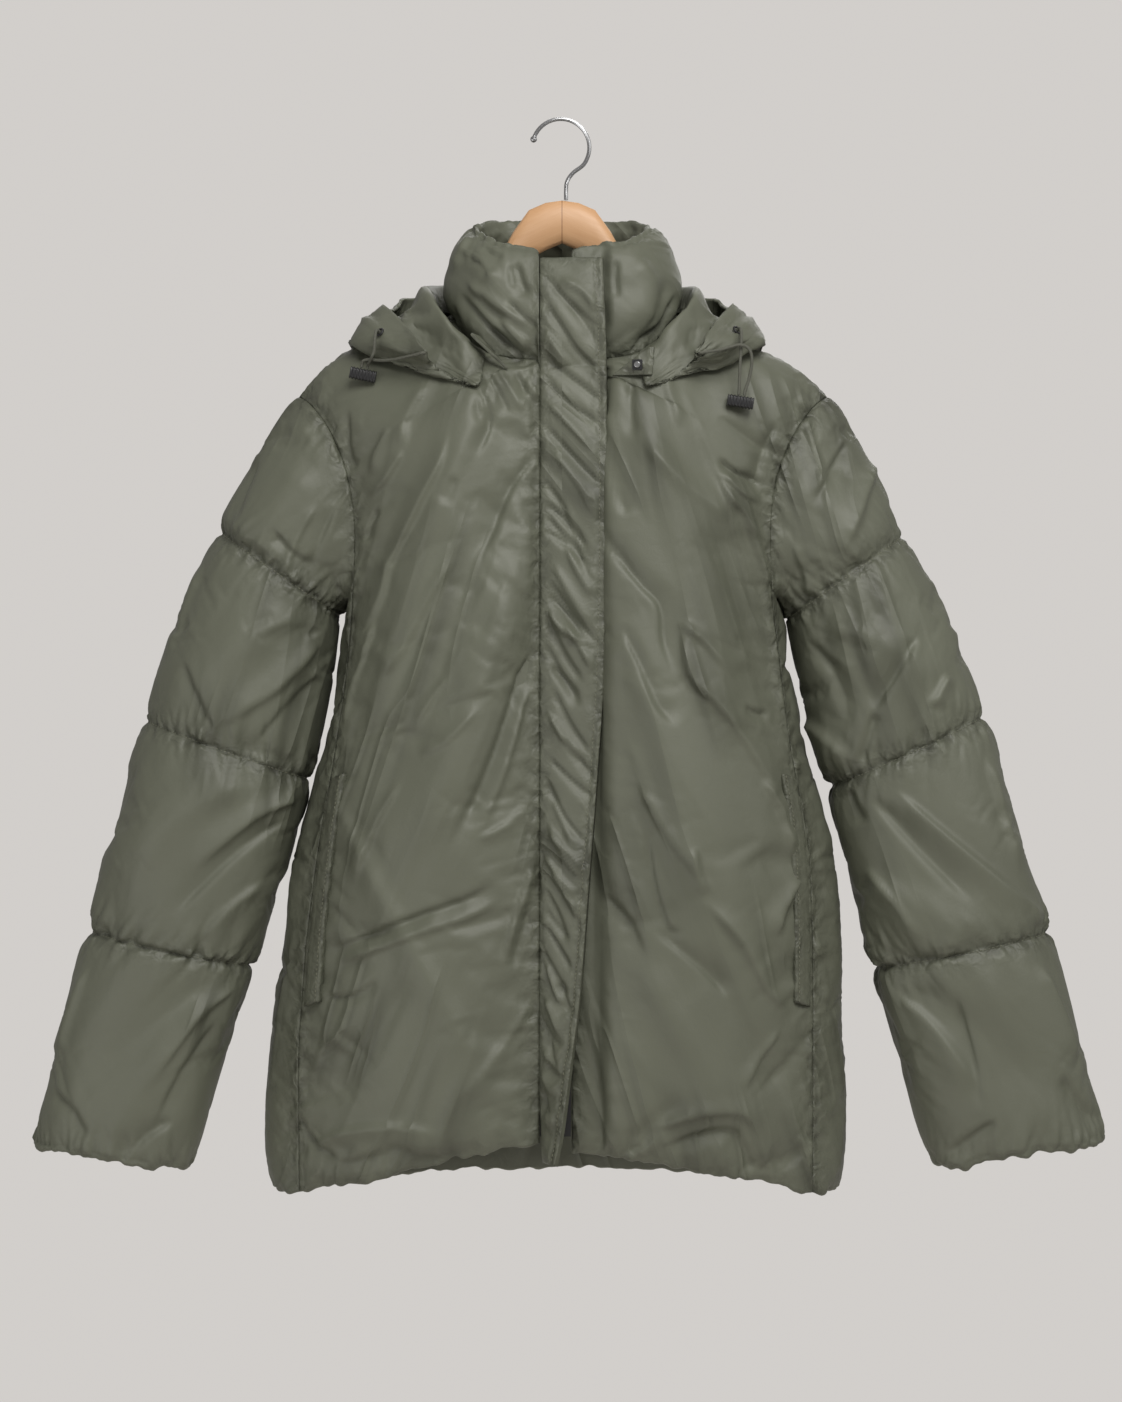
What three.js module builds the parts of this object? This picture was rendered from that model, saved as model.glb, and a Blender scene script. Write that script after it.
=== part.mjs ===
// A padded puffer jacket that hangs on a wooden hanger, in millimetres.
// +Z is up, the front faces -Y, and +X is the wearer's left. The origin is the underside of the
// top of the hanger's hook, which is where a rail or a peg holds the whole thing.
//
// Every cloth piece is a padded wall. A panel starts as a smooth grid of points, is joined to its
// neighbours along the seams, and then gets its thickness: the outer face is puffed up between the
// seams and carries the folds, and the inner face is plain.
import * as THREE from "three";

// ---- driving sizes ----
const SEAM_GAP = 0.36; // clear space between two pieces that are sewn together
const CURVED_SEAM_GAP = 0.9; // the same at the neck and armholes, where the walls meet at an angle
const EDGE_HALF = 1.5; // a wall's outer and inner faces stand this far off its surface at a seam
const BODY_LOFT = 10; // how far the padding lifts the body's outer face above that
const SLEEVE_LOFT = 7.5;
const COLLAR_LOFT = 8;
const FLAP_LOFT = 6;
const FLAP_LOFT_REACH = 8;
const LOFT_REACH = 16; // distance from a seam over which most of the loft is gained
const FREE_EDGE = 9; // a hem or cuff is as full as cloth this far from a seam
const GATHER = 1.3; // ruffles beside the sleeves' quilting lines
const SIDE_SWELL = 8; // loft of the side panels at their widest, inside the body's outline
const SHOULDER_SWELL = { right: 16, left: 10 }; // how far each shoulder rounds up off a straight line
const LEFT_HEM_DROP = 9; // how far the left front hangs below the right one at the closure
const HEM_SWEEP = 0.3; // how much the front hems bow between the closure and the side

const FLAP_LEFT = -18.4; // the storm flap runs from here, beside the wearer's right front
const FLAP_RIGHT = 36;
const CLOSURE_RIGHT = -19; // where the wearer's right front and collar end
const CLOSURE_LEFT = 8; // where the left front and collar end, under the flap
const FLAP_RECESS = 6.5; // how far the left front and collar lie back where the flap covers them
const ZIP_FRONT = 2.2; // the zip's faces behind the flap's surface
const ZIP_BACK = 4.6;

const UNDERARM_ROW = 16; // rows of the body's grids, counted up from the hem
const NECK_ROW = 20;
const SHOULDER_ROW = 26;
const FRONT_COLUMNS = 10;
const SIDE_COLUMNS = 4;
const NECK_COLUMNS = 8;
const BACK_COLUMNS = 2 * FRONT_COLUMNS + NECK_COLUMNS;
const COLLAR_ROWS = 8;
const FLAP_ROWS = 34;
const FLAP_COLUMNS = 4;
const SLEEVE_ROWS_PER_BAFFLE = 8;
const HOOD_STEPS_PER_SPAN = 3;
const HOOD_COLUMNS = 24;

const CORD_RADIUS = 1.3;
const CORD_STEP = 2; // diameters between the cord's rings
const EYELET = { radius: 3.5, wire: 0.9 };
const LOCK_SIZE = { width: 22, depth: 9, height: 10.5 };
const HOOK_WIRE = 1.75; // radius
const HOOK_BEND = 24.25; // radius of the hook's round, to the middle of the wire
const HOOK_TIP_RADIUS = 2.9; // the ball on the hook's end
const HOOK_STEPS = 44;
const HOOK_SIDES = 8;
const TAB_THICKNESS = 2.4;
const PATCH = { size: 8.4, corner: 0.8, thickness: 1, along: 4, across: -3 };
const SNAP = { radius: 3.2, height: 1.6, bevel: 0.8, sides: 16 };
const FLAP_SNAP = { row: 4.85, column: 0.85 }; // where it lies on the left front, beside the flap
const ZIP_BOX = { width: 5, height: 9, thickness: 3, x: -2.4 }; // at the zip's lower end
const PLACED_GAP = 0.3; // clear space under a hard piece that is fixed on cloth

const SHELL_COLOUR = "#6f7062";
const WOOD_COLOUR = "#cda27c";
const STEEL_COLOUR = "#b9bbbd";
const PLASTIC_COLOUR = "#26262a";
const CORD_COLOUR = "#62635a";

// ---- tables ----
// A table's first list names the columns, and each list after it is a row.
const table = (columns, rows) =>
  rows.map((row) => Object.fromEntries(columns.map((column, i) => [column, row[i]])));

// The body by grid row. centre is the front edge at the closure up to row 20, and the neckline above
// it. seam is the front side seam up to row 16, and the armhole above it. edge is the outline beside
// it. back is the middle and the side of the back panel. Right and Left are the wearer's, and widths
// are distances from the middle.
const BODY = table(
  ["row", "centreX", "centreY", "centreZ", "seamRight", "seamLeft", "seamY", "seamZ", "edgeRight",
   "edgeLeft", "crown", "backY", "backSideY", "backZ"],
  [
    [0, 0, -82, -858, 219, 209, -48, -902, 248, 238, 10, 58, 42, -894],
    [3, 0, -86, -762, 220, 209, -50, -809, 246, 235, 15, 60, 43, -803],
    [6, 0, -88, -671, 215, 209, -50, -719, 237, 233, 19, 60, 43, -705],
    [9, 0, -88, -572, 204, 206, -49, -624, 223, 226, 21, 60, 42, -610],
    [12, 0, -87, -473, 188, 190, -48, -529, 197, 202, 20, 58, 41, -515],
    [14, 0, -86, -407, 179, 182, -46, -465, 186, 190, 19, 56, 41, -452],
    [16, 0, -84, -341, 174, 175, -44, -400, 180, 181, 17, 54, 42, -390],
    [18, 0, -80, -278, 173, 174, -50, -356, 177, 178, 14, 52, 45, -330],
    [20, 0, -73, -216, 177, 177, -50, -316, 180, 180, 11, 50, 44, -272],
    [22, 57, -58, -205, 187, 188, -45, -282, 187, 187, 7, 48, 38, -222],
    [24, 82, -34, -184, 204, 206, -32, -252, 204, 206, 3, 46, 24, -184],
    [25, 88, -20, -174, 214, 216, -19, -241, 214, 216, 1.2, 44, 10, -169],
    [26, 90, -5, -170, 222, 224, -5, -236, 222, 224, 0, 43, -5, -157],
  ],
);

// The sleeves by ring: the point furthest from the body, the point nearest to it, and the ring's
// middle and half depth. Ring 0 is at the armhole and ring 4 at the cuff. The others are quilted.
const SLEEVE_RIGHT = table(
  ["ring", "outX", "outZ", "inX", "inZ", "midY", "halfDepth"],
  [
    [0, -222, -236, -174, -400, 0, 48],
    [1, -287, -352, -191, -419, 2, 50],
    [2, -350, -511, -219, -558, 3, 51],
    [3, -397, -689, -268, -716, 2, 48],
    [4, -443, -868, -320, -884, -2, 42],
  ],
);
const SLEEVE_LEFT = table(
  ["ring", "outX", "outZ", "inX", "inZ", "midY", "halfDepth"],
  [
    [0, 224, -236, 175, -400, 0, 48],
    [1, 286, -355, 193, -422, 2, 50],
    [2, 354, -508, 232, -564, 3, 51],
    [3, 409, -690, 270, -718, 2, 49],
    [4, 453, -861, 318, -884, -2, 43],
  ],
);

// The largest folds of the padding: soft ridges, or troughs where lift is negative.
const FOLDS = table(
  ["panel", "fromX", "fromZ", "toX", "toZ", "width", "lift"],
  [
    ["front_right", -78, -250, -176, -440, 17, 7],
    ["front_right", -28, -262, -84, -450, 16, 6],
    ["front_right", -24, -405, -78, -550, 14, -6],
    ["front_right", -110, -360, -190, -540, 15, -5],
    ["front_right", -60, -560, -176, -660, 18, 6],
    ["front_right", -24, -662, -184, -712, 15, -6],
    ["front_right", -40, -760, -170, -790, 18, 5],
    ["front_right", -70, -866, -196, -842, 14, -5],
    ["front_left", 49, -238, 180, -405, 17, 7],
    ["front_left", 44, -340, 120, -545, 16, 7],
    ["front_left", 90, -380, 176, -500, 14, -5],
    ["front_left", 84, -476, 182, -680, 18, 7],
    ["front_left", 40, -600, 96, -730, 15, -6],
    ["front_left", 60, -745, 190, -800, 17, 5],
    ["front_left", 60, -850, 190, -886, 14, -5],
    ["back", -150, -330, -40, -520, 20, 6],
    ["back", 150, -320, 60, -480, 20, 6],
    ["back", -190, -560, -60, -640, 18, -5],
    ["back", 30, -600, 190, -560, 18, -5],
    ["back", -120, -700, 90, -730, 22, 6],
    ["back", -170, -840, -20, -826, 16, -5],
    ["back", 40, -822, 180, -852, 16, -5],
  ],
);

// The storm flap by height: its two edges, and how far the free one stands forward.
const FLAP = [
  { z: -875, left: -15, right: -5, lift: 30 },
  { z: -845, left: -17, right: 1, lift: 29 },
  { z: -800, left: FLAP_LEFT, right: 7, lift: 25 },
  { z: -740, left: FLAP_LEFT, right: 15, lift: 20 },
  { z: -650, left: FLAP_LEFT, right: 22, lift: 15 },
  { z: -560, left: FLAP_LEFT, right: 29, lift: 12 },
  { z: -450, left: FLAP_LEFT, right: 36, lift: 10 },
  { z: -350, left: FLAP_LEFT, right: 38, lift: 9 },
  { z: -216, left: FLAP_LEFT, right: 37, lift: 8 },
  { z: -125, left: FLAP_LEFT, right: 34, lift: 6 },
];

// The hood lies back off the neck, as an open pouch. Each station is a section of it that starts at
// the collar seam, rises to a ridge, dives under at the mouth (slot), runs out on the body (under),
// folds back at the lower edge, and returns over the top to the brim. Station 0 is the middle of the
// back and station 6 the front end. The other side mirrors them.
const HOOD_MARKS = ["attach", "ridge", "slot", "under", "fold", "over", "brim"];
const HOOD = table(
  ["station", ...HOOD_MARKS],
  [
    [0, [0, 60, -152], [0, 68, -130], [0, 74, -165], [0, 72, -290],
      [0, 88, -402], [0, 116, -270], [0, 98, -130]],
    [1, [54, 54, -156], [60, 63, -132], [66, 71, -166], [68, 71, -280],
      [76, 86, -388], [84, 112, -262], [75, 94, -133]],
    [2, [95, 28, -162], [102, 36, -138], [112, 52, -168], [118, 68, -230],
      [136, 82, -318], [146, 96, -226], [126, 68, -144]],
    [3, [106, 0, -163], [113, 0, -142], [130, 8, -174], [154, 24, -178],
      [178, 38, -189], [170, 26, -173], [151, 8, -154]],
    [4, [102, -31, -173], [108, -41, -152], [124, -43, -180], [150, -42, -192],
      [177, -36, -192], [164, -49, -184], [138, -54, -169]],
    [5, [89, -54, -188], [95, -68, -174], [106, -68, -200], [128, -67, -214],
      [151, -60, -206], [142, -75, -199], [124, -81, -187]],
    [6, [64, -66, -203], [66, -77, -214], [70, -91, -232], [90, -84, -226],
      [106, -81, -214], [111, -89, -210], [112, -93, -205]],
  ],
);
const HOOD_SPREAD = { right: 1, left: 0.95 }; // how wide each side of the hood lies

// One arm of the hanger, from the middle out.
const HANGER = [
  { x: 0, top: -68, bottom: -105, halfDepth: 6 },
  { x: 14, top: -70, bottom: -111, halfDepth: 6 },
  { x: 28, top: -76, bottom: -118, halfDepth: 6.5 },
  { x: 41, top: -94, bottom: -130, halfDepth: 7 },
  { x: 53, top: -116, bottom: -146, halfDepth: 8 },
  { x: 66, top: -143, bottom: -165, halfDepth: 8.5 },
  { x: 80, top: -167, bottom: -184, halfDepth: 9 },
  { x: 98, top: -180, bottom: -198, halfDepth: 10 },
  { x: 130, top: -194, bottom: -212, halfDepth: 11 },
  { x: 165, top: -205, bottom: -224, halfDepth: 12 },
  { x: 186, top: -215, bottom: -233, halfDepth: 12 },
  { x: 193, top: -221, bottom: -232, halfDepth: 8 },
];
const HANGER_Y = -5;
const HANGER_SIDES = 12; // corners of the wood's section

// Each end of the hood's drawcord shows as two strands that hang into one lock: one out of an eyelet
// in the brim, and one out of the brim's corner. The cord turns back inside the lock. Each list is a
// route in millimetres, chosen by eye, from the hood to the lock.
const CORDS = {
  right_eyelet: [
    [-151.2, -66.6, -186.8],
    [-153.2, -68.8, -184.7],
    [-154.6, -72.5, -186],
    [-155.4, -75, -193],
    [-156, -74, -202],
    [-158, -72.5, -207],
    [-160.4, -66, -211],
    [-162, -61.4, -213.2],
    [-162.4, -60.5, -216],
  ],
  right_brim: [
    [-113.6, -93.4, -206],
    [-114.8, -95.8, -205.8],
    [-120, -93, -207],
    [-130, -86, -208.6],
    [-140, -79, -210],
    [-151, -71, -210],
    [-160, -64.5, -208.6],
    [-165.4, -62.4, -209.4],
    [-166.7, -60.6, -212],
    [-167.3, -60.5, -214.9],
  ],
  left_eyelet: [
    [145.2, -63.6, -184.8],
    [147.3, -65.7, -182.7],
    [148.6, -69.5, -184],
    [149, -73, -190],
    [148.4, -75.5, -202],
    [147.6, -75.5, -218],
    [147, -75.5, -235.2],
    [146.4, -75.5, -238.8],
  ],
  left_brim: [
    [113.3, -92.6, -206],
    [114.7, -95.1, -205.6],
    [121, -93, -204.6],
    [131, -86, -202.5],
    [140, -81.4, -199.5],
    [148, -80, -197.8],
    [155, -78, -201],
    [157.6, -76.5, -210],
    [155.6, -75.2, -224],
    [152, -75.5, -235.4],
    [151.4, -75.5, -239.5],
  ],
};
// Each front end of the hood has a tab that snaps under the collar. along runs from its point to the
// hood. The right one stands on edge in the gap beside the collar, and the left one lies open.
const TABS = table(
  ["name", "length", "width", "middle", "along", "outward"],
  [
    ["right", 41, 12, [-61, -81.5, -204.3], [-0.62, 0.3, 0.72], [0.75, -0.35, 0.56]],
    ["left", 36, 23, [59, -85.7, -212], [1, -0.21, 0], [-0.21, -1, 0]],
  ],
);
const LOCKS = [
  { name: "right", x: -166, y: -60.5, z: -221, tilt: 12 },
  { name: "left", x: 148, y: -75.5, z: -244.7, tilt: 9 },
];
// Each eyelet faces along its outward direction.
const EYELETS = [
  { name: "right", x: -151.9, y: -67.3, z: -186.1, outX: -0.56, outY: -0.59, outZ: 0.58 },
  { name: "left", x: 145.9, y: -64.3, z: -184.1, outX: 0.58, outY: -0.58, outZ: 0.58 },
];

// The wearer's right is at -X.
const SIDES = [["right", -1], ["left", 1]];

// ---- curves and grids ----
const mix = (a, b, t) => a + (b - a) * t;
const clamp01 = (t) => Math.min(1, Math.max(0, t));
const ease = (t) => clamp01(t) ** 2 * (3 - 2 * clamp01(t));
const vector = (x, y, z) => new THREE.Vector3(x, y, z);
const count = (from, to) => Array.from({ length: to - from + 1 }, (_, i) => from + i);

// A smooth curve through a table's rows. Given a value of the key column, it returns every column
// there, and it never swings past the rows on either side.
function curveThrough(table, key) {
  const rows = [...table].sort((a, b) => a[key] - b[key]);
  const names = Object.keys(rows[0]).filter((name) => name !== key);
  const slopes = {};
  for (const name of names) {
    const steps = rows.slice(1).map((r, i) => (r[name] - rows[i][name]) / (r[key] - rows[i][key]));
    slopes[name] = rows.map((_, i) => {
      const before = steps[Math.max(i - 1, 0)];
      const after = steps[Math.min(i, steps.length - 1)];
      return before * after <= 0 ? 0 : (2 * before * after) / (before + after);
    });
  }
  return (value) => {
    let i = 0;
    while (i < rows.length - 2 && value > rows[i + 1][key]) i += 1;
    const span = rows[i + 1][key] - rows[i][key];
    const t = clamp01((value - rows[i][key]) / span);
    const found = { [key]: value };
    for (const name of names) {
      const start = rows[i][name] * (1 + 2 * t) * (1 - t) ** 2;
      const end = rows[i + 1][name] * t * t * (3 - 2 * t);
      const bend = slopes[name][i] * (1 - t) - slopes[name][i + 1] * t;
      found[name] = start + end + bend * span * t * (1 - t);
    }
    return found;
  };
}

// A grid of points, row by row. A tube's last column joins its first.
function makeGrid(rowCount, columnCount, pointAt, isTube = false) {
  const columns = isTube ? columnCount : columnCount + 1;
  const points = count(0, rowCount).map((row) =>
    count(0, columns - 1).map((column) => pointAt(row, column)),
  );
  return { points, isTube, normals: null };
}

// Outward normals of a grid, from the neighbours along and across. middleOf gives, for a point of
// the grid, a place on the grid's inner side.
function setNormals(grid, middleOf) {
  const { points, isTube } = grid;
  const rows = points.length;
  const columns = points[0].length;
  grid.normals = points.map((line, r) =>
    line.map((point, c) => {
      const up = points[Math.min(r + 1, rows - 1)][c].clone().sub(points[Math.max(r - 1, 0)][c]);
      const next = isTube ? (c + 1) % columns : Math.min(c + 1, columns - 1);
      const last = isTube ? (c + columns - 1) % columns : Math.max(c - 1, 0);
      const normal = line[next].clone().sub(line[last]).cross(up).normalize();
      return normal.dot(point.clone().sub(middleOf(point, r, c))) < 0 ? normal.negate() : normal;
    }),
  );
  return grid;
}

// A panel's point at a seam, with the step in rows and columns that leads into the panel.
const sewn = (grid, row, column, intoRow, intoColumn) => ({ grid, row, column, intoRow, intoColumn });

// Sews panels together. Each station is a list of the points that meet there: they take the same
// normal, and each steps back into its own panel, at right angles to the seam.
function sew(stations, isRing = false, gap = SEAM_GAP) {
  const total = stations.length;
  const spots = stations.map((members) => {
    const point = vector(0, 0, 0);
    const normal = vector(0, 0, 0);
    for (const { grid, row, column } of members) {
      point.addScaledVector(grid.points[row][column], 1 / members.length);
      normal.add(grid.normals[row][column]);
    }
    return { point, normal: normal.normalize() };
  });
  stations.forEach((members, i) => {
    const before = isRing ? spots[(i + total - 1) % total] : spots[Math.max(i - 1, 0)];
    const after = isRing ? spots[(i + 1) % total] : spots[Math.min(i + 1, total - 1)];
    const { normal } = spots[i];
    const along = after.point.clone().sub(before.point).normalize();
    const steps = members.map(({ grid, row, column, intoRow, intoColumn }) => {
      const inward = grid.points[row + intoRow][column + intoColumn].clone();
      inward.sub(grid.points[row][column]);
      inward.addScaledVector(along, -inward.dot(along));
      return inward.addScaledVector(normal, -inward.dot(normal)).setLength(gap / 2);
    });
    members.forEach(({ grid, row, column }, k) => {
      grid.points[row][column].add(steps[k]);
      grid.normals[row][column] = normal.clone();
    });
  });
}

// How far each point lies from the nearest line that holds the padding down, along the cloth. held
// lists rows as { row, extra }, where extra is more distance, for an edge that stays full.
function heldDistances(grid, held) {
  const { points, isTube } = grid;
  const nearest = points.map((line) => line.map(() => Infinity));
  const runs = (list) => {
    const at = [0];
    for (let i = 1; i < list.length; i += 1) at.push(at[i - 1] + list[i].distanceTo(list[i - 1]));
    return at;
  };
  points[0].forEach((_, c) => {
    const at = runs(points.map((line) => line[c]));
    for (const { row, extra } of held) {
      at.forEach((run, r) => {
        nearest[r][c] = Math.min(nearest[r][c], Math.abs(run - at[row]) + extra);
      });
    }
  });
  if (!isTube) {
    points.forEach((line, r) => {
      const at = runs(line);
      at.forEach((run, c) => {
        nearest[r][c] = Math.min(nearest[r][c], run, at[at.length - 1] - run);
      });
    });
  }
  return nearest;
}

const loftAt = (distance, loft) => EDGE_HALF + loft * (1 - Math.exp(-distance / LOFT_REACH));

// The lift that a panel's folds give at a point.
function foldLift(panel, point) {
  let lift = 0;
  for (const fold of FOLDS.filter((row) => row.panel === panel)) {
    const run = new THREE.Vector2(fold.toX - fold.fromX, fold.toZ - fold.fromZ);
    const offset = new THREE.Vector2(point.x - fold.fromX, point.z - fold.fromZ);
    const share = offset.dot(run) / run.lengthSq();
    const across = Math.abs(offset.cross(run)) / run.length();
    const fade = ease(share * 4 + 0.3) * ease((1 - share) * 4 + 0.3);
    lift += fold.lift * fade * Math.exp(-((across / fold.width) ** 2));
  }
  return lift;
}

// ---- solids ----
// A BufferGeometry whose faces point outwards, whichever way round they were listed.
function closedGeometry(positions, triangles) {
  const corner = (i) => vector(positions[3 * i], positions[3 * i + 1], positions[3 * i + 2]);
  let volume = 0;
  for (let i = 0; i < triangles.length; i += 3) {
    const [a, b, c] = [0, 1, 2].map((k) => corner(triangles[i + k]));
    volume += a.dot(b.cross(c));
  }
  const geometry = new THREE.BufferGeometry();
  geometry.setAttribute("position", new THREE.Float32BufferAttribute(positions, 3));
  geometry.setIndex(volume < 0 ? [...triangles].reverse() : triangles);
  return geometry;
}

// The closed wall of a grid. rise and depth say how far the outer and inner faces stand off it at
// [row][column]. With innerStep 2, the inner face is plainer and takes every second point.
function wallGeometry(grid, rise, depth, innerStep = 2) {
  const { points, normals, isTube } = grid;
  const rows = points.length - 1;
  const columns = isTube ? points[0].length : points[0].length - 1;
  const positions = [];
  const triangles = [];
  const face = (offset, step) =>
    points.map((line, r) =>
      line.map((p, c) => {
        if (r % step || c % step) return -1;
        const moved = p.clone().addScaledVector(normals[r][c], offset(r, c));
        return positions.push(moved.x, moved.y, moved.z) / 3 - 1;
      }),
    );
  const outer = face((r, c) => rise[r][c], 1);
  const inner = face((r, c) => -depth[r][c], innerStep);
  const wrap = (c) => (isTube ? c % columns : c);
  const skin = (index, step, flip) => {
    for (let r = 0; r < rows; r += step) {
      for (let c = 0; c < columns; c += step) {
        const [a, b] = [index[r][c], index[r][wrap(c + step)]];
        const [d, e] = [index[r + step][c], index[r + step][wrap(c + step)]];
        triangles.push(...(flip ? [a, e, b, a, d, e] : [a, b, e, a, e, d]));
      }
    }
  };
  // A rim joins the outer points of one step to the two inner points below them.
  const rim = (at, steps, flip) => {
    for (let i = 0; i < steps; i += innerStep) {
      const top = count(i, i + innerStep).map((k) => at(outer, k));
      const [first, last] = [at(inner, i), at(inner, i + innerStep)];
      const middle = Math.floor(innerStep / 2);
      const faces = [[top[middle], first, last]];
      for (let k = 0; k < innerStep; k += 1) {
        faces.push([top[k], k < middle ? first : last, top[k + 1]]);
      }
      for (const corners of faces) triangles.push(...(flip ? corners.reverse() : corners));
    }
  };
  skin(outer, 1, false);
  skin(inner, innerStep, true);
  rim((index, k) => index[0][wrap(k)], columns, false);
  rim((index, k) => index[rows][wrap(k)], columns, true);
  if (!isTube) {
    rim((index, k) => index[k][0], rows, true);
    rim((index, k) => index[k][columns], rows, false);
  }
  return closedGeometry(positions, triangles);
}

// A solid through closed rings of points, with a fan over each end.
function loftGeometry(rings) {
  const around = rings[0].length;
  const positions = rings.flat().flatMap((p) => [p.x, p.y, p.z]);
  const triangles = [];
  for (let r = 0; r + 1 < rings.length; r += 1) {
    for (let k = 0; k < around; k += 1) {
      const [a, b] = [r * around + k, r * around + ((k + 1) % around)];
      triangles.push(a, b, b + around, a, b + around, a + around);
    }
  }
  const last = (rings.length - 1) * around;
  for (let k = 1; k + 1 < around; k += 1) {
    triangles.push(0, k + 1, k, last, last + k, last + k + 1);
  }
  return closedGeometry(positions, triangles);
}

// A round rod along a route, with flat ends.
function rodGeometry(route, radius, steps, sides) {
  const section = new THREE.Shape();
  section.absarc(0, 0, radius, 0, 2 * Math.PI);
  const path = new THREE.CatmullRomCurve3(route.map((p) => vector(...p)), false, "centripetal");
  return new THREE.ExtrudeGeometry(section, {
    steps,
    curveSegments: sides / 2,
    extrudePath: path,
    bevelEnabled: false,
  });
}

// A flat plate with round corners, centred on the origin in X and Y and standing on Z = 0.
function plateGeometry(width, height, corner, thickness) {
  const [x, y] = [width / 2, height / 2];
  const outline = new THREE.Shape();
  outline.moveTo(-x + corner, -y);
  outline.lineTo(x - corner, -y);
  outline.absarc(x - corner, -y + corner, corner, -Math.PI / 2, 0);
  outline.absarc(x - corner, y - corner, corner, 0, Math.PI / 2);
  outline.absarc(-x + corner, y - corner, corner, Math.PI / 2, Math.PI);
  outline.absarc(-x + corner, -y + corner, corner, Math.PI, 1.5 * Math.PI);
  return new THREE.ExtrudeGeometry(outline, { depth: thickness, curveSegments: 3, bevelEnabled: false });
}

const jacket = new THREE.Group();
jacket.name = "puffer_jacket";

const plain = (color, roughness, metalness) =>
  new THREE.MeshStandardMaterial({ color, roughness, metalness });
const shell = () => plain(SHELL_COLOUR, 0.5, 0);

function addNode(name, geometry, material) {
  const mesh = new THREE.Mesh(geometry, material);
  mesh.name = name;
  jacket.add(mesh);
  return mesh;
}

// ---- body: two fronts, two side panels and a back ----
const bodyAt = curveThrough(BODY, "row");
const middleOfBody = (point) => vector(point.x * 0.5, -5, Math.min(point.z - 40, -260));
const panels = {};

// How near a row is to the shoulder seam, from 0 at the neck's foot to 1.
const shoulderShare = (row) => clamp01((row - NECK_ROW) / (SHOULDER_ROW - NECK_ROW));

// side is -1 for the wearer's right and 1 for the left. share runs from the closure to the side.
function frontPoint(side, share, row) {
  const at = bodyAt(row);
  const innerX = Math.max(side < 0 ? -CLOSURE_RIGHT : CLOSURE_LEFT, at.centreX);
  const seamX = side < 0 ? at.seamRight : at.seamLeft;
  const x = mix(innerX, seamX, share);
  const isCovered = side > 0 ? 1 - ease((x - FLAP_RIGHT + 4) / 16) : 0;
  const crownStart = side > 0 ? Math.max(innerX, FLAP_RIGHT - 6) : innerX;
  const crownShare = clamp01((x - crownStart) / (seamX - crownStart));
  const arch = (1 - (2 * crownShare - 1) ** 2) ** 0.8;
  const y = mix(at.centreY, at.seamY, share ** 1.6) - at.crown * arch + FLAP_RECESS * isCovered;
  const sweep = 1 + HEM_SWEEP * (1 - row / SHOULDER_ROW);
  const swell = side < 0 ? SHOULDER_SWELL.right : SHOULDER_SWELL.left;
  const rounding = swell * Math.sin(Math.PI * share ** 2) * shoulderShare(row);
  const drop = side > 0 ? LEFT_HEM_DROP * (1 - share) ** 2 * (1 - ease(row / 6)) : 0;
  return vector(side * x, y, mix(at.centreZ, at.seamZ, share ** sweep) + rounding - drop);
}

const makeFront = (side) =>
  makeGrid(SHOULDER_ROW, FRONT_COLUMNS, (row, column) => frontPoint(side, column / FRONT_COLUMNS, row));

const makeSidePanel = (side) =>
  makeGrid(UNDERARM_ROW, SIDE_COLUMNS, (row, column) => {
    const at = bodyAt(row);
    const share = column / SIDE_COLUMNS;
    const [seamX, edgeX] = side < 0 ? [at.seamRight, at.edgeRight] : [at.seamLeft, at.edgeLeft];
    const widest = Math.max(edgeX - SIDE_SWELL, seamX);
    const x = mix(seamX, widest, Math.sin(Math.PI * share) ** 0.8);
    return vector(side * x, mix(at.seamY, at.backSideY, share), at.seamZ);
  });

// The back's top edge: a shoulder seam on each side of the neckline.
function backTopPoint(column) {
  const at = bodyAt(SHOULDER_ROW);
  const fromMiddle = Math.abs(column - BACK_COLUMNS / 2);
  const side = Math.sign(column - BACK_COLUMNS / 2);
  const halfNeck = NECK_COLUMNS / 2;
  if (fromMiddle >= halfNeck) {
    return frontPoint(side, (fromMiddle - halfNeck) / FRONT_COLUMNS, SHOULDER_ROW);
  }
  const angle = (fromMiddle / halfNeck) * (Math.PI / 2);
  return vector(
    side * at.centreX * Math.sin(angle),
    mix(at.centreY, at.backY, Math.cos(angle)),
    mix(at.centreZ, at.backZ, Math.cos(angle)),
  );
}

const makeBack = () =>
  makeGrid(SHOULDER_ROW, BACK_COLUMNS, (row, column) => {
    const at = bodyAt(row);
    const isRight = column < BACK_COLUMNS / 2;
    const top = backTopPoint(column);
    const corner = backTopPoint(isRight ? 0 : BACK_COLUMNS);
    const narrowing = ease((row - UNDERARM_ROW) / (SHOULDER_ROW - UNDERARM_ROW));
    const ratio = mix((2 * column) / BACK_COLUMNS - 1, top.x / Math.abs(corner.x), narrowing);
    const closing = 1 - Math.sqrt(1 - shoulderShare(row) ** 2);
    const arch = 1 - Math.abs(ratio) ** 2.5;
    const dip = (at.backZ - at.seamZ) * (1 - ratio * ratio);
    return vector(
      ratio * (isRight ? at.seamRight : at.seamLeft),
      at.backSideY + mix((at.backY - at.backSideY) * arch, top.y - corner.y, closing),
      at.seamZ + mix(dip, top.z - corner.z, narrowing),
    );
  });

panels.front_right = setNormals(makeFront(-1), middleOfBody);
panels.front_left = setNormals(makeFront(1), middleOfBody);
panels.side_right = setNormals(makeSidePanel(-1), middleOfBody);
panels.side_left = setNormals(makeSidePanel(1), middleOfBody);
panels.back = setNormals(makeBack(), middleOfBody);

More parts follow.
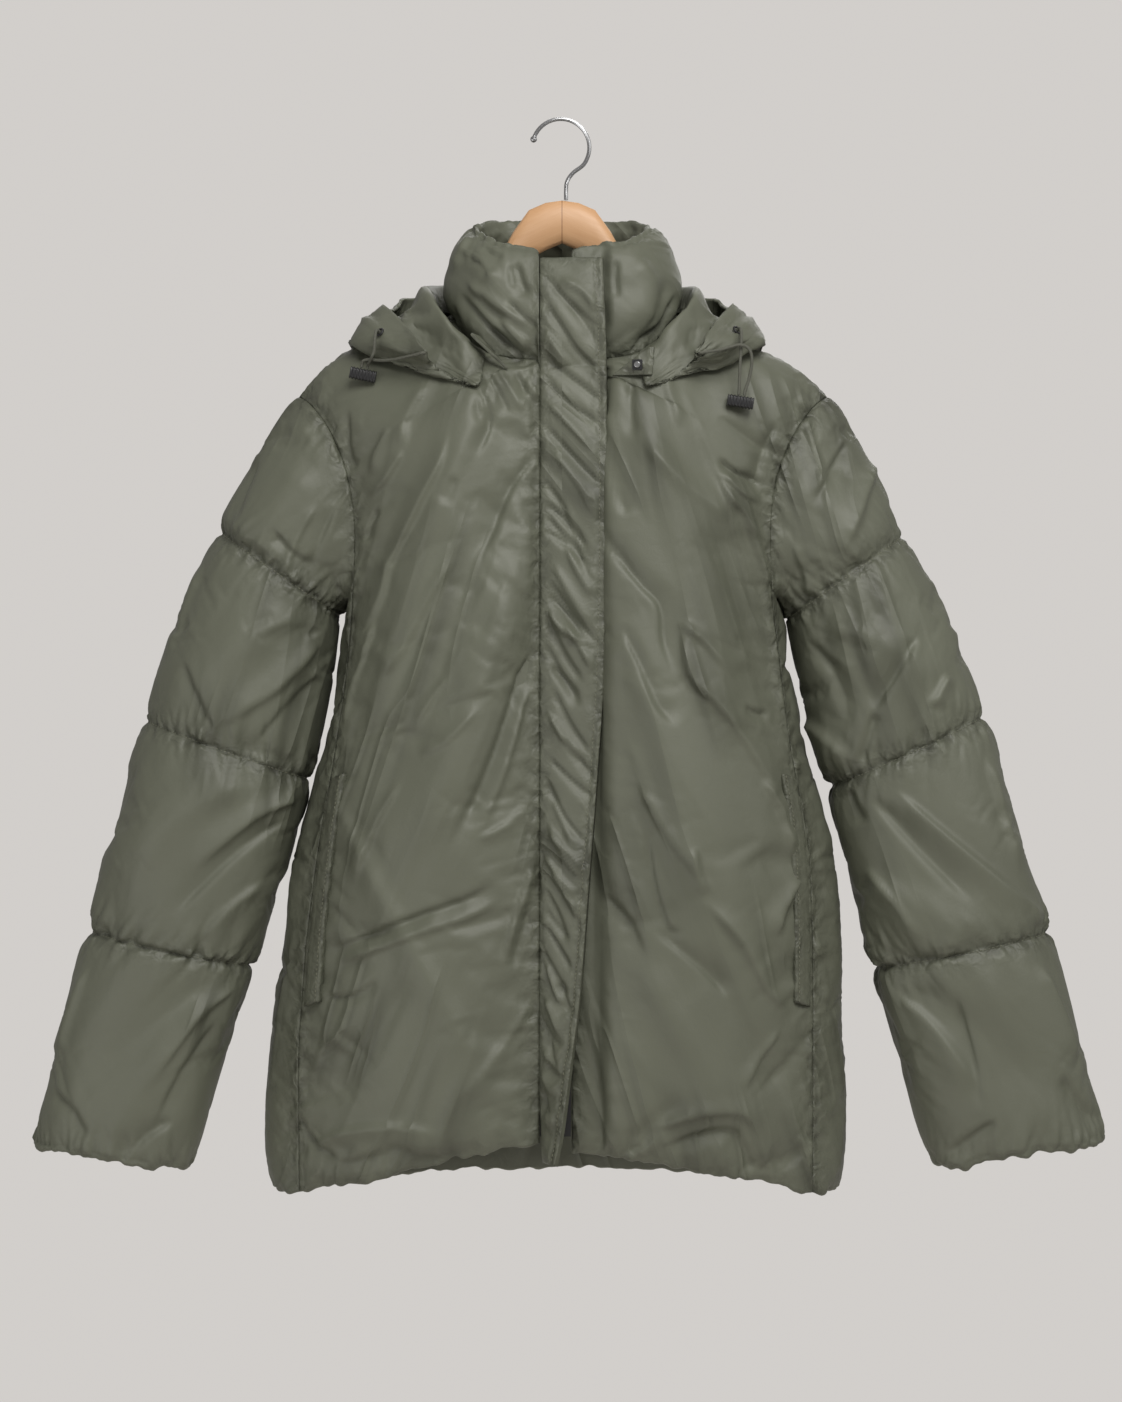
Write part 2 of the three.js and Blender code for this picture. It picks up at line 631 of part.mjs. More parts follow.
// Each side's seams: front to side panel, side panel to back, and front to back at the shoulder.
for (const [name, side] of SIDES) {
  const front = panels[`front_${name}`];
  const panel = panels[`side_${name}`];
  const backEdge = side < 0 ? 0 : BACK_COLUMNS;
  sew(count(0, UNDERARM_ROW).map((row) => [
    sewn(front, row, FRONT_COLUMNS, 0, -1),
    sewn(panel, row, 0, 0, 1),
  ]));
  sew(count(0, UNDERARM_ROW).map((row) => [
    sewn(panel, row, SIDE_COLUMNS, 0, -1),
    sewn(panels.back, row, backEdge, 0, -side),
  ]));
  sew(count(0, FRONT_COLUMNS).map((column) => [
    sewn(front, SHOULDER_ROW, column, -1, 0),
    sewn(panels.back, SHOULDER_ROW, BACK_COLUMNS / 2 + side * (NECK_COLUMNS / 2 + column), -1, 0),
  ]));
}

// ---- sleeves ----
const SLEEVE_COLUMNS = 2 * (SHOULDER_ROW - UNDERARM_ROW) + SIDE_COLUMNS;
const SLEEVE_ROWS = 4 * SLEEVE_ROWS_PER_BAFFLE;

// The body's points round an armhole, from the shoulder down the front and up the back.
function armholeStations(name, side) {
  const front = panels[`front_${name}`];
  const panel = panels[`side_${name}`];
  const backEdge = side < 0 ? 0 : BACK_COLUMNS;
  const onFront = (row) => sewn(front, row, FRONT_COLUMNS, 0, -1);
  const onSide = (column) => sewn(panel, UNDERARM_ROW, column, -1, 0);
  const onBack = (row) => sewn(panels.back, row, backEdge, 0, -side);
  const down = count(UNDERARM_ROW + 1, SHOULDER_ROW - 1).reverse();
  const up = count(UNDERARM_ROW + 1, SHOULDER_ROW - 1);
  return [
    [onFront(SHOULDER_ROW), onBack(SHOULDER_ROW)],
    ...down.map((row) => [onFront(row)]),
    [onFront(UNDERARM_ROW), onSide(0)],
    ...count(1, SIDE_COLUMNS - 1).map((column) => [onSide(column)]),
    [onSide(SIDE_COLUMNS), onBack(UNDERARM_ROW)],
    ...up.map((row) => [onBack(row)]),
  ];
}

function makeSleeve(name, side, table) {
  const ringAt = curveThrough(table, "ring");
  const stations = armholeStations(name, side);
  const middles = [];
  const ellipse = (ring, column) => {
    const at = ringAt(ring);
    const angle = (2 * Math.PI * column) / SLEEVE_COLUMNS;
    const reach = (1 + Math.cos(angle)) / 2;
    const y = at.midY - at.halfDepth * Math.sin(angle);
    return vector(mix(at.inX, at.outX, reach), y, mix(at.inZ, at.outZ, reach));
  };
  const armhole = stations.map((members) => {
    const point = vector(0, 0, 0);
    for (const { grid, row, column } of members) {
      point.addScaledVector(grid.points[row][column], 1 / members.length);
    }
    return point;
  });
  const sleeve = makeGrid(SLEEVE_ROWS, SLEEVE_COLUMNS, (row, column) => {
    const ring = row / SLEEVE_ROWS_PER_BAFFLE;
    const offset = armhole[column].clone().sub(ellipse(0, column));
    return ellipse(ring, column).addScaledVector(offset, (1 - clamp01(ring)) ** 2);
  }, true);
  sleeve.points.forEach((line, row) => {
    const middle = line.reduce((sum, p) => sum.add(p), vector(0, 0, 0)).divideScalar(line.length);
    middles[row] = middle;
  });
  setNormals(sleeve, (_, row) => middles[row]);
  const joined = stations.map((members, column) => [...members, sewn(sleeve, 0, column, 1, 0)]);
  sew(joined, true, CURVED_SEAM_GAP);
  return sleeve;
}

panels.sleeve_right = makeSleeve("right", -1, SLEEVE_RIGHT);
panels.sleeve_left = makeSleeve("left", 1, SLEEVE_LEFT);

// ---- collar ----
// It stands on the neckline, from the wearer's right closure round the back to the left one.
function neckStations() {
  const right = (row) => sewn(panels.front_right, row, 0, -1, 1);
  const left = (row) => sewn(panels.front_left, row, 0, -1, 1);
  const behind = (column) => sewn(panels.back, SHOULDER_ROW, column, -1, 0);
  const halfNeck = NECK_COLUMNS / 2;
  const middle = BACK_COLUMNS / 2;
  return [
    ...count(NECK_ROW, SHOULDER_ROW - 1).map((row) => [right(row)]),
    [right(SHOULDER_ROW), behind(middle - halfNeck)],
    ...count(middle - halfNeck + 1, middle + halfNeck - 1).map((column) => [behind(column)]),
    [behind(middle + halfNeck), left(SHOULDER_ROW)],
    ...count(NECK_ROW, SHOULDER_ROW - 1).reverse().map((row) => [left(row)]),
  ];
}

const COLLAR = [
  { share: 0, narrowing: 1, forward: 0, swell: 0 },
  { share: 0.35, narrowing: 0.97, forward: 0, swell: 6 },
  { share: 0.7, narrowing: 0.9, forward: 2, swell: 6 },
  { share: 1, narrowing: 0.84, forward: 5, swell: 1 },
];
const COLLAR_TOP = { front: -126, back: -84 };

function makeCollar() {
  const stations = neckStations();
  const heightAt = curveThrough(COLLAR, "share");
  const neckY = [bodyAt(NECK_ROW).centreY, bodyAt(SHOULDER_ROW).backY];
  const base = stations.map(([{ grid, row, column }]) => grid.points[row][column].clone());
  const collar = makeGrid(COLLAR_ROWS, stations.length - 1, (row, column) => {
    const foot = base[column];
    const at = heightAt(row / COLLAR_ROWS);
    const behind = clamp01((foot.y - neckY[0]) / (neckY[1] - neckY[0]));
    const wide = clamp01((Math.abs(foot.x) - 20) / 60);
    const out = vector(foot.x * 1.1, (foot.y - neckY[0] * 0.25) * 1.2, 0).normalize();
    const top = mix(COLLAR_TOP.front, COLLAR_TOP.back, behind ** 0.6);
    const x = foot.x * mix(1, at.narrowing, wide) + out.x * at.swell * wide;
    const y = foot.y + out.y * at.swell + at.forward * (1 - behind) - at.forward * behind;
    return vector(x, y, mix(foot.z, top, row / COLLAR_ROWS));
  });
  setNormals(collar, (point) => vector(point.x * 0.3, -10, point.z));
  const joined = stations.map((members, column) => [...members, sewn(collar, 0, column, 1, 0)]);
  sew(joined, false, CURVED_SEAM_GAP);
  return collar;
}
panels.collar = makeCollar();

// At the closure, the walls' ends stand square to the front, so that what lies between them fits.
function squareEnds(grid, column, rows) {
  for (const row of rows) grid.normals[row][column].setX(0).normalize();
}
squareEnds(panels.front_right, 0, count(0, NECK_ROW));
squareEnds(panels.front_left, 0, count(0, NECK_ROW));
squareEnds(panels.collar, 0, count(0, COLLAR_ROWS));
squareEnds(panels.collar, panels.collar.points[0].length - 1, count(0, COLLAR_ROWS));

// ---- the padded walls ----
const lofts = {};
const SEAM = 0;

function padWall(name, loft, held, inside = () => EDGE_HALF) {
  const grid = panels[name];
  const distances = heldDistances(grid, held);
  const rise = grid.points.map((line, r) =>
    line.map((point, c) => {
      const distance = distances[r][c];
      const fold = foldLift(name, point) * ease(distance / 30);
      return Math.max(loftAt(distance, loft) + fold, EDGE_HALF);
    }),
  );
  const depth = grid.points.map((line, r) => line.map((_, c) => inside(distances[r][c])));
  lofts[name] = { rise, depth };
}

const hem = { row: 0, extra: FREE_EDGE };
for (const name of ["front_right", "front_left", "back"]) {
  padWall(name, BODY_LOFT, [hem, { row: SHOULDER_ROW, extra: SEAM }]);
}
for (const name of ["side_right", "side_left"]) {
  padWall(name, BODY_LOFT, [hem, { row: UNDERARM_ROW, extra: SEAM }]);
}
padWall(
  "collar",
  COLLAR_LOFT,
  [{ row: 0, extra: SEAM }, { row: COLLAR_ROWS, extra: 3 }],
  (distance) => loftAt(distance, COLLAR_LOFT),
);
for (const name of ["sleeve_right", "sleeve_left"]) {
  const lines = count(0, 3).map((line) => ({ row: line * SLEEVE_ROWS_PER_BAFFLE, extra: SEAM }));
  padWall(name, SLEEVE_LOFT, [...lines, { row: SLEEVE_ROWS, extra: FREE_EDGE }]);
  // Ruffles beside the quilting: every other column swells and the ones between sink. Under the arm
  // the padding is pressed flat.
  lofts[name].rise.forEach((line, row) => {
    const nearArmhole = clamp01(1.5 - row / SLEEVE_ROWS_PER_BAFFLE);
    const fromLine = row % SLEEVE_ROWS_PER_BAFFLE;
    const isBesideLine = row > 2 && (fromLine === 1 || fromLine === SLEEVE_ROWS_PER_BAFFLE - 1);
    line.forEach((_, column) => {
      if (isBesideLine || row === SLEEVE_ROWS) line[column] += column % 2 ? GATHER : -GATHER;
      const under = ((1 - Math.cos((2 * Math.PI * column) / SLEEVE_COLUMNS)) / 2) ** 2;
      line[column] = mix(line[column], EDGE_HALF, nearArmhole * under);
    });
  });
}
// The flap presses the left front and collar flat where it covers them. Just past its edge the front
// steps forward, and there the inner face stays level with the covered part.
panels.front_left.points.forEach((line, row) => {
  const { rise, depth } = lofts.front_left;
  if (row <= NECK_ROW) depth[row][2] += 2.2 * FLAP_RECESS;
  line.forEach((point, column) => {
    const bare = row > NECK_ROW + 1 ? 1 : ease((point.x - FLAP_RIGHT) / 24);
    rise[row][column] = mix(EDGE_HALF, rise[row][column], bare);
  });
});
panels.collar.points.forEach((line, row) => {
  line.forEach((point, column) => {
    const isUnderFlap = column > line.length / 2 && point.y < -40;
    const bare = isUnderFlap ? ease((point.x - FLAP_RIGHT) / 24) : 1;
    const { rise } = lofts.collar;
    rise[row][column] = mix(EDGE_HALF, rise[row][column], bare);
  });
});

for (const name of Object.keys(panels)) {
  addNode(name, wallGeometry(panels[name], lofts[name].rise, lofts[name].depth), shell());
}

// A point on a panel's outer face, also between its rows and columns.
function facePoint(name, row, column) {
  const { points, normals } = panels[name];
  const at = (r, c) => points[r][c].clone().addScaledVector(normals[r][c], lofts[name].rise[r][c]);
  const [r, c] = [Math.floor(row), Math.floor(column)];
  const [nextR, nextC] = [Math.ceil(row), Math.ceil(column)];
  const low = at(r, c).lerp(at(r, nextC), column - c);
  const high = at(nextR, c).lerp(at(nextR, nextC), column - c);
  return low.lerp(high, row - r);
}

// ---- storm flap and zip ----
// The closure's surface by height, along the edge of the right front and collar.
const closure = [
  ...count(0, NECK_ROW).map((row) => panels.front_right.points[row][0]),
  ...count(1, COLLAR_ROWS).map((row) => panels.collar.points[row][0]),
].map(({ y, z }) => ({ z, y }));
const closureAt = curveThrough(closure, "z");
const flapAt = curveThrough(FLAP, "z");
const flat = (grid, value) => grid.points.map((line) => line.map(() => value));

const flap = makeGrid(FLAP_ROWS, FLAP_COLUMNS, (row, column) => {
  const z = mix(FLAP[0].z, FLAP[FLAP.length - 1].z, row / FLAP_ROWS);
  const at = flapAt(z);
  const share = column / FLAP_COLUMNS;
  return vector(mix(at.left, at.right, share), closureAt(z).y - at.lift * share ** 1.3, z);
});
setNormals(flap, (point) => vector(point.x - 20, 60, point.z));
squareEnds(flap, 0, count(0, FLAP_ROWS));
const flapDistances = heldDistances(flap, [{ row: 0, extra: 3 }, { row: FLAP_ROWS, extra: 3 }]);
const flapRise = flapDistances.map((line) =>
  line.map((distance) => EDGE_HALF + FLAP_LOFT * (1 - Math.exp(-distance / FLAP_LOFT_REACH))),
);
addNode("storm_flap", wallGeometry(flap, flapRise, flat(flap, EDGE_HALF), 1), shell());

// The zip lies behind the flap and starts and stops a row inside it.
const ZIP_ROWS = FLAP_ROWS - 2;
const zipTape = makeGrid(ZIP_ROWS, 2, (row, column) => {
  const { z } = flap.points[row + 1][0];
  const x = mix(CLOSURE_RIGHT + 0.5, CLOSURE_LEFT - 0.5, column / 2);
  return vector(x, closureAt(z).y + ZIP_FRONT, z);
});
setNormals(zipTape, (point) => vector(point.x, 60, point.z));
for (const line of zipTape.normals) line.forEach((normal) => normal.set(0, -1, 0));
addNode(
  "zip",
  wallGeometry(zipTape, flat(zipTape, 0), flat(zipTape, ZIP_BACK - ZIP_FRONT), 1),
  plain(PLASTIC_COLOUR, 0.5, 0),
);

// The box that holds the zip's foot hangs just under the closure.
const boxShape = plateGeometry(ZIP_BOX.width, ZIP_BOX.height, 1, ZIP_BOX.thickness);
const zipBox = addNode("zip_box", boxShape, plain(STEEL_COLOUR, 0.3, 1));
const zipFoot = zipTape.points[0][1];
zipBox.rotation.x = Math.PI / 2;
const boxZ = zipFoot.z - PLACED_GAP - ZIP_BOX.height / 2;
zipBox.position.set(ZIP_BOX.x, zipFoot.y + ZIP_BACK - ZIP_FRONT, boxZ);

// ---- pocket welts ----
// Each lies on the outer face of its front, along the side seam.
const WELT = { firstRow: 5, lastRow: 11, reach: 0.86, clear: 0.4, thickness: 3.2, edgeShare: 0.7 };
for (const [name] of SIDES) {
  const front = `front_${name}`;
  const welt = makeGrid(WELT.lastRow - WELT.firstRow, 2, (step, column) => {
    const row = WELT.firstRow + step;
    const inner = facePoint(front, row, FRONT_COLUMNS - 1);
    return inner.lerp(facePoint(front, row, FRONT_COLUMNS), (column / 2) * WELT.reach);
  });
  setNormals(welt, middleOfBody);
  const outer = welt.points.map((line) =>
    line.map((_, column) => WELT.clear + WELT.thickness * (column === 1 ? 1 : WELT.edgeShare)),
  );
  addNode(`pocket_welt_${name}`, wallGeometry(welt, outer, flat(welt, -WELT.clear), 1), shell());
}

// ---- hood ----
const hoodStation = (row, side) => {
  const station = { station: side * row.station };
  for (const mark of HOOD_MARKS) {
    const [x, y, z] = row[mark];
    Object.assign(station, { [`${mark}X`]: side * x, [`${mark}Y`]: y, [`${mark}Z`]: z });
  }
  return station;
};
const hoodAt = curveThrough(
  [...HOOD.slice(1).map((row) => hoodStation(row, -1)), ...HOOD.map((row) => hoodStation(row, 1))],
  "station",
);
const HOOD_ROWS = HOOD_STEPS_PER_SPAN * (HOOD_MARKS.length - 1);

const hood = makeGrid(HOOD_ROWS, HOOD_COLUMNS, (row, column) => {
  const at = hoodAt(mix(-6, 6, column / HOOD_COLUMNS));
  const sideSpread = column < HOOD_COLUMNS / 2 ? HOOD_SPREAD.right : HOOD_SPREAD.left;
  const spread = (x) => x * mix(1, sideSpread, clamp01(Math.abs(x) / 50 - 2));
  const marks = HOOD_MARKS.map((mark) => vector(spread(at[`${mark}X`]), at[`${mark}Y`], at[`${mark}Z`]));
  const section = new THREE.CatmullRomCurve3(marks, false, "centripetal");
  return section.getPoint(row / HOOD_ROWS);
});
setNormals(hood, (point, row, column) => {
  const next = hood.points[Math.min(row + 1, HOOD_ROWS)][column];
  const last = hood.points[Math.max(row - 1, 0)][column];
  const along = next.clone().sub(last).normalize();
  const away = vector(point.x, point.y + 5, 0).normalize();
  const outward = away.multiplyScalar(-along.z).add(vector(0, 0, along.dot(away)));
  return point.clone().sub(outward);
});
addNode("hood", wallGeometry(hood, flat(hood, EDGE_HALF), flat(hood, EDGE_HALF), 1), shell());

// ---- hanger ----
function armSection(at, side) {
  const middle = (at.top + at.bottom) / 2;
  const half = (at.top - at.bottom) / 2;
  return count(1, HANGER_SIDES).map((k) => {
    const angle = (2 * Math.PI * k) / HANGER_SIDES;
    const y = HANGER_Y + at.halfDepth * Math.cos(angle);
    return vector(side * at.x, y, middle + half * Math.sin(angle));
  });
}
const outwards = HANGER.map((at) => armSection(at, 1));
const inwards = HANGER.slice(1).reverse().map((at) => armSection(at, -1));
addNode("hanger_wood", loftGeometry([...inwards, ...outwards]), plain(WOOD_COLOUR, 0.45, 0));

// The hook: a shank out of the wood, a bend, and most of a circle over the origin, with a ball at
// its end.
const HOOK_SHANK = [
  [3.4, HANGER_Y, -67.9],
  [3.4, HANGER_Y + 0.6, -61],
  [4.2, -1.2, -52],
  [9, 0, -44.5],
];
const HOOK_ROUND = { x: -1, fromDegrees: -38, toDegrees: 170, points: 14 };
const hookRoute = [
  ...HOOK_SHANK,
  ...count(0, HOOK_ROUND.points).map((k) => {
    const degrees = mix(HOOK_ROUND.fromDegrees, HOOK_ROUND.toDegrees, k / HOOK_ROUND.points);
    const angle = THREE.MathUtils.degToRad(degrees);
    const z = HOOK_WIRE - HOOK_BEND + HOOK_BEND * Math.sin(angle);
    return [HOOK_ROUND.x + HOOK_BEND * Math.cos(angle), 0, z];
  }),
];

// The wire as rings along its route. Over the last few, its radius swells and closes as a ball.
function ballEndedRod(route) {
  const path = new THREE.CatmullRomCurve3(route.map((p) => vector(...p)), false, "centripetal");
  const length = path.getLength();
  const along = count(0, HOOK_STEPS).map((k) => ({
    at: (k / HOOK_STEPS) * (length - 2 * HOOK_TIP_RADIUS),
    radius: HOOK_WIRE,
  }));
  for (const k of count(1, 6)) {
    const angle = mix(Math.PI * 0.78, Math.PI * 0.1, (k - 1) / 5);
    const at = length - HOOK_TIP_RADIUS + HOOK_TIP_RADIUS * Math.cos(angle);
    along.push({ at, radius: HOOK_TIP_RADIUS * Math.sin(angle) });
  }
  return loftGeometry(along.map(({ at, radius }) => {
    const middle = path.getPointAt(at / length);
    const across = path.getTangentAt(at / length).cross(vector(0, 1, 0)).normalize();
    return count(1, HOOK_SIDES).map((k) => {
      const angle = (2 * Math.PI * k) / HOOK_SIDES;
      const point = middle.clone().addScaledVector(across, radius * Math.cos(angle));
      return point.setY(point.y + radius * Math.sin(angle));
    });
  }));
}
addNode("hanger_hook", ballEndedRod(hookRoute), plain(STEEL_COLOUR, 0.25, 1));

// ---- hood tabs, snaps, eyelets, locks and cords ----
// A tab is three-cornered. Its point lies at -X, and it lies flat with its outer face up.
function tabGeometry({ length, width }) {
  const outline = new THREE.Shape();
  outline.moveTo(-length / 2, -width / 2);
  outline.lineTo(length * 0.45, -width / 2);
  outline.lineTo(length / 2, width / 2);
  outline.lineTo(length * 0.35, width / 2);
  return new THREE.ExtrudeGeometry(outline, { depth: TAB_THICKNESS, bevelEnabled: false });
}
function addSnap(name) {
  const topRadius = SNAP.radius - SNAP.bevel;
  const shape = new THREE.CylinderGeometry(topRadius, SNAP.radius, SNAP.height, SNAP.sides);
  shape.rotateX(Math.PI / 2);
  shape.translate(0, 0, SNAP.height / 2);
  return addNode(name, shape, plain(STEEL_COLOUR, 0.3, 1));
}
const tabs = {};
for (const tab of TABS) {
  const along = vector(...tab.along).normalize();
  const outward = vector(...tab.outward).projectOnPlane(along).normalize();
  const group = new THREE.Group();
  const across = outward.clone().cross(along);
  group.quaternion.setFromRotationMatrix(new THREE.Matrix4().makeBasis(along, across, outward));
  group.position.set(...tab.middle);
  group.add(addNode(`hood_tab_${tab.name}`, tabGeometry(tab), shell()));
  jacket.add(group);
  tabs[tab.name] = group;
}

// The left tab lies open, so its snap shows, on a small square patch.
const patchShape = plateGeometry(PATCH.size, PATCH.size, PATCH.corner, PATCH.thickness);
const patch = addNode("tab_patch", patchShape, plain(PLASTIC_COLOUR, 0.5, 0));
patch.position.set(PATCH.along, PATCH.across, TAB_THICKNESS + PLACED_GAP);
const tabSnap = addSnap("tab_snap");
tabSnap.position.set(PATCH.along, PATCH.across, patch.position.z + PATCH.thickness + PLACED_GAP);
tabs.left.add(patch, tabSnap);

// The storm flap's lowest snap shows on the left front, beside the flap's free edge.
const flapSnap = addSnap("flap_snap");
const snapPlace = facePoint("front_left", FLAP_SNAP.row, FLAP_SNAP.column);
const snapOutward = panels.front_left.normals[Math.round(FLAP_SNAP.row)][0];
flapSnap.position.copy(snapPlace).addScaledVector(snapOutward, PLACED_GAP);
flapSnap.quaternion.setFromUnitVectors(vector(0, 0, 1), snapOutward);

for (const eyelet of EYELETS) {
  const torus = new THREE.TorusGeometry(EYELET.radius, EYELET.wire, 8, 16);
  const ring = addNode(`eyelet_${eyelet.name}`, torus, plain(PLASTIC_COLOUR, 0.4, 0));
  ring.position.set(eyelet.x, eyelet.y, eyelet.z);
  const outward = vector(eyelet.outX, eyelet.outY, eyelet.outZ).normalize();
  ring.quaternion.setFromUnitVectors(vector(0, 0, 1), outward);
}

for (const lock of LOCKS) {
  const { width, depth, height } = LOCK_SIZE;
  const body = plateGeometry(width, depth, depth / 2 - 0.2, height);
  body.translate(0, 0, -height / 2);
  const mesh = addNode(`cord_lock_${lock.name}`, body, plain(PLASTIC_COLOUR, 0.4, 0));
  mesh.position.set(lock.x, lock.y, lock.z);
  mesh.rotation.y = THREE.MathUtils.degToRad(lock.tilt);
}

for (const [name, route] of Object.entries(CORDS)) {
  const path = new THREE.CatmullRomCurve3(route.map((p) => vector(...p)), false, "centripetal");
  const steps = Math.round(path.getLength() / (CORD_STEP * 2 * CORD_RADIUS));
  addNode(`cord_${name}`, rodGeometry(route, CORD_RADIUS, steps, 8), plain(CORD_COLOUR, 0.7, 0));
}

export default jacket;
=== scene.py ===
"""A padded puffer jacket on a wooden hanger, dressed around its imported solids.

Lengths in the tables are millimetres in the part's own frame: +Z is up, the front faces -Y, +X is
the wearer's left, and the origin is the underside of the top of the hanger's hook.
"""

import math

import bmesh
import bpy
import numpy as np
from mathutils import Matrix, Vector, noise


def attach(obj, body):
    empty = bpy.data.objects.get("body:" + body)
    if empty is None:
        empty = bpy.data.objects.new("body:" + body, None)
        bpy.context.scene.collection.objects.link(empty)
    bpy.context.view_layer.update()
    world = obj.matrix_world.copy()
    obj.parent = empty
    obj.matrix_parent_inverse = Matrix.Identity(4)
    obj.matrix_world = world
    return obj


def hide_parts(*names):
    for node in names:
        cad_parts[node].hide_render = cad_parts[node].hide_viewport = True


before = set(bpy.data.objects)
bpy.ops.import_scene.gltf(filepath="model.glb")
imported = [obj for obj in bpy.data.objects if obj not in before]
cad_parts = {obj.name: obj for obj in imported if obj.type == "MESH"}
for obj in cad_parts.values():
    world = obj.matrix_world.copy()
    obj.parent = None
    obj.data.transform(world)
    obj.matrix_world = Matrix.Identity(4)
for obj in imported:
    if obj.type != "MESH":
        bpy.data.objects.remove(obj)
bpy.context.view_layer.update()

MM = 0.001

# ---- The set ----
# A pale floor below the hanging jacket, pale air around it, and a camera at chest height, 3.2 m
# away. The light is one broad soft source in front and above, with a weaker one from each side.
stage = bpy.context.scene
stage.view_settings.view_transform = "Standard"
CAMERA_DISTANCE = 3.2
CAMERA_HEIGHT = -0.493
CAMERA_X = -0.00085
FRAME_HALF_HEIGHT = 0.59585


def add_object(name, data):
    made = bpy.data.objects.new(name, data)
    stage.collection.objects.link(made)
    return made


camera_data = bpy.data.cameras.new("camera")
camera_data.sensor_fit = "VERTICAL"
camera_data.sensor_height = 24
camera_data.lens = camera_data.sensor_height / 2 * CAMERA_DISTANCE / FRAME_HALF_HEIGHT
camera = add_object("camera", camera_data)
camera.location = (CAMERA_X, -CAMERA_DISTANCE, CAMERA_HEIGHT)
camera.rotation_euler = (math.pi / 2, 0, 0)
stage.camera = camera


def add_light(name, place, aim, size, power, colour):
    data = bpy.data.lights.new(name, "AREA")
    data.shape = "DISK"
    data.size = size
    data.energy = power
    data.color = colour
    light = add_object(name, data)
    light.location = place
    light.rotation_euler = (Vector(aim) - Vector(place)).to_track_quat("-Z", "Y").to_euler()


add_light("key", (0.6, -2.1, 1.4), (0, 0, -0.5), 1.8, 76, (1, 0.985, 0.96))
add_light("fill_left", (-1.7, -1.9, -1.1), (0, 0, -0.6), 1.6, 13, (1, 0.99, 0.97))
add_light("fill_right", (2.3, -1.5, 0.5), (0, 0, -0.5), 1.4, 9, (1, 0.99, 0.97))
add_light("behind", (0.4, 2.4, 0.9), (0, 0, -0.45), 2.0, 20, (1, 0.99, 0.97))

# The air is brighter where the camera sees it than as a light, so that the cloth keeps its shadows.
world = bpy.data.worlds.new("pale_air")
stage.world = world
world.use_nodes = True
air = world.node_tree.nodes["Background"]
air.inputs["Color"].default_value = (0.70, 0.675, 0.65, 1)
seen = world.node_tree.nodes.new("ShaderNodeLightPath")
bright_air = world.node_tree.nodes.new("ShaderNodeMapRange")
bright_air.inputs["To Min"].default_value = 0.46
bright_air.inputs["To Max"].default_value = 0.92
world.node_tree.links.new(seen.outputs["Is Camera Ray"], bright_air.inputs["Value"])
world.node_tree.links.new(bright_air.outputs["Result"], air.inputs["Strength"])


class Socket:
    """A shader value that adds its own Math nodes when it is used in an expression."""

    def __init__(self, shader, link):
        self.shader = shader
        self.link = link

    def _math(self, operation, first, second):
        return self.shader.node("ShaderNodeMath", {"operation": operation}, {0: first, 1: second})

    def __add__(self, other):
        return self._math("ADD", self, other)

    def __radd__(self, other):
        return self._math("ADD", other, self)

    def __sub__(self, other):
        return self._math("SUBTRACT", self, other)

    def __rsub__(self, other):
        return self._math("SUBTRACT", other, self)

    def __mul__(self, other):
        return self._math("MULTIPLY", self, other)

    def __truediv__(self, other):
        return self._math("DIVIDE", self, other)

    def __rtruediv__(self, other):
        return self._math("DIVIDE", other, self)


class Shader:
    """One material. node() adds any node: its settings first, then its sockets' values or links."""

    def __init__(self, name):
        self.material = bpy.data.materials.new(name)
        self.material.use_nodes = True
        self.tree = self.material.node_tree
        self.surface = self.tree.nodes["Principled BSDF"]
        self.place = self.node("ShaderNodeTexCoord", {}, {}, "Object")

    def fill(self, node, inputs):
        for key, value in inputs.items():
            if isinstance(value, Socket):
                self.tree.links.new(value.link, node.inputs[key])
            else:
                node.inputs[key].default_value = value

    def node(self, kind, settings=None, inputs=None, output=0):
        made = self.tree.nodes.new(kind)
        for key, value in (settings or {}).items():
            setattr(made, key, value)
        self.fill(made, inputs or {})
        return Socket(self, made.outputs[output])

    def stretched(self, scale):
        return self.node("ShaderNodeMapping", {}, {"Vector": self.place, "Scale": scale})

    def noise(self, scale, detail=2, roughness=0.5, vector=None, distortion=0.0):
        inputs = {
            "Vector": vector or self.place,
            "Scale": scale,
            "Detail": detail,
            "Roughness": roughness,
            "Distortion": distortion,
        }
        return self.node("ShaderNodeTexNoise", {}, inputs)

    def blend(self, factor, first, second):
        sockets = {"Factor": factor, 6: first, 7: second}
        return self.node("ShaderNodeMix", {"data_type": "RGBA"}, sockets, 2)

    def bump(self, height, distance, strength=1.0, normal=None):
        sockets = {"Height": height, "Distance": distance, "Strength": strength}
        if normal:
            sockets["Normal"] = normal
        return self.node("ShaderNodeBump", {}, sockets)

    def finish(self, **inputs):
        names = {key.replace("_", " "): value for key, value in inputs.items()}
        self.fill(self.surface, names)
        return self.material


def colour(text):
    """The linear colour that a web colour such as #55574b stands for."""
    parts = [int(text[i : i + 2], 16) / 255 for i in (1, 3, 5)]
    return (*(c / 12.92 if c <= 0.04045 else ((c + 0.055) / 1.055) ** 2.4 for c in parts), 1.0)


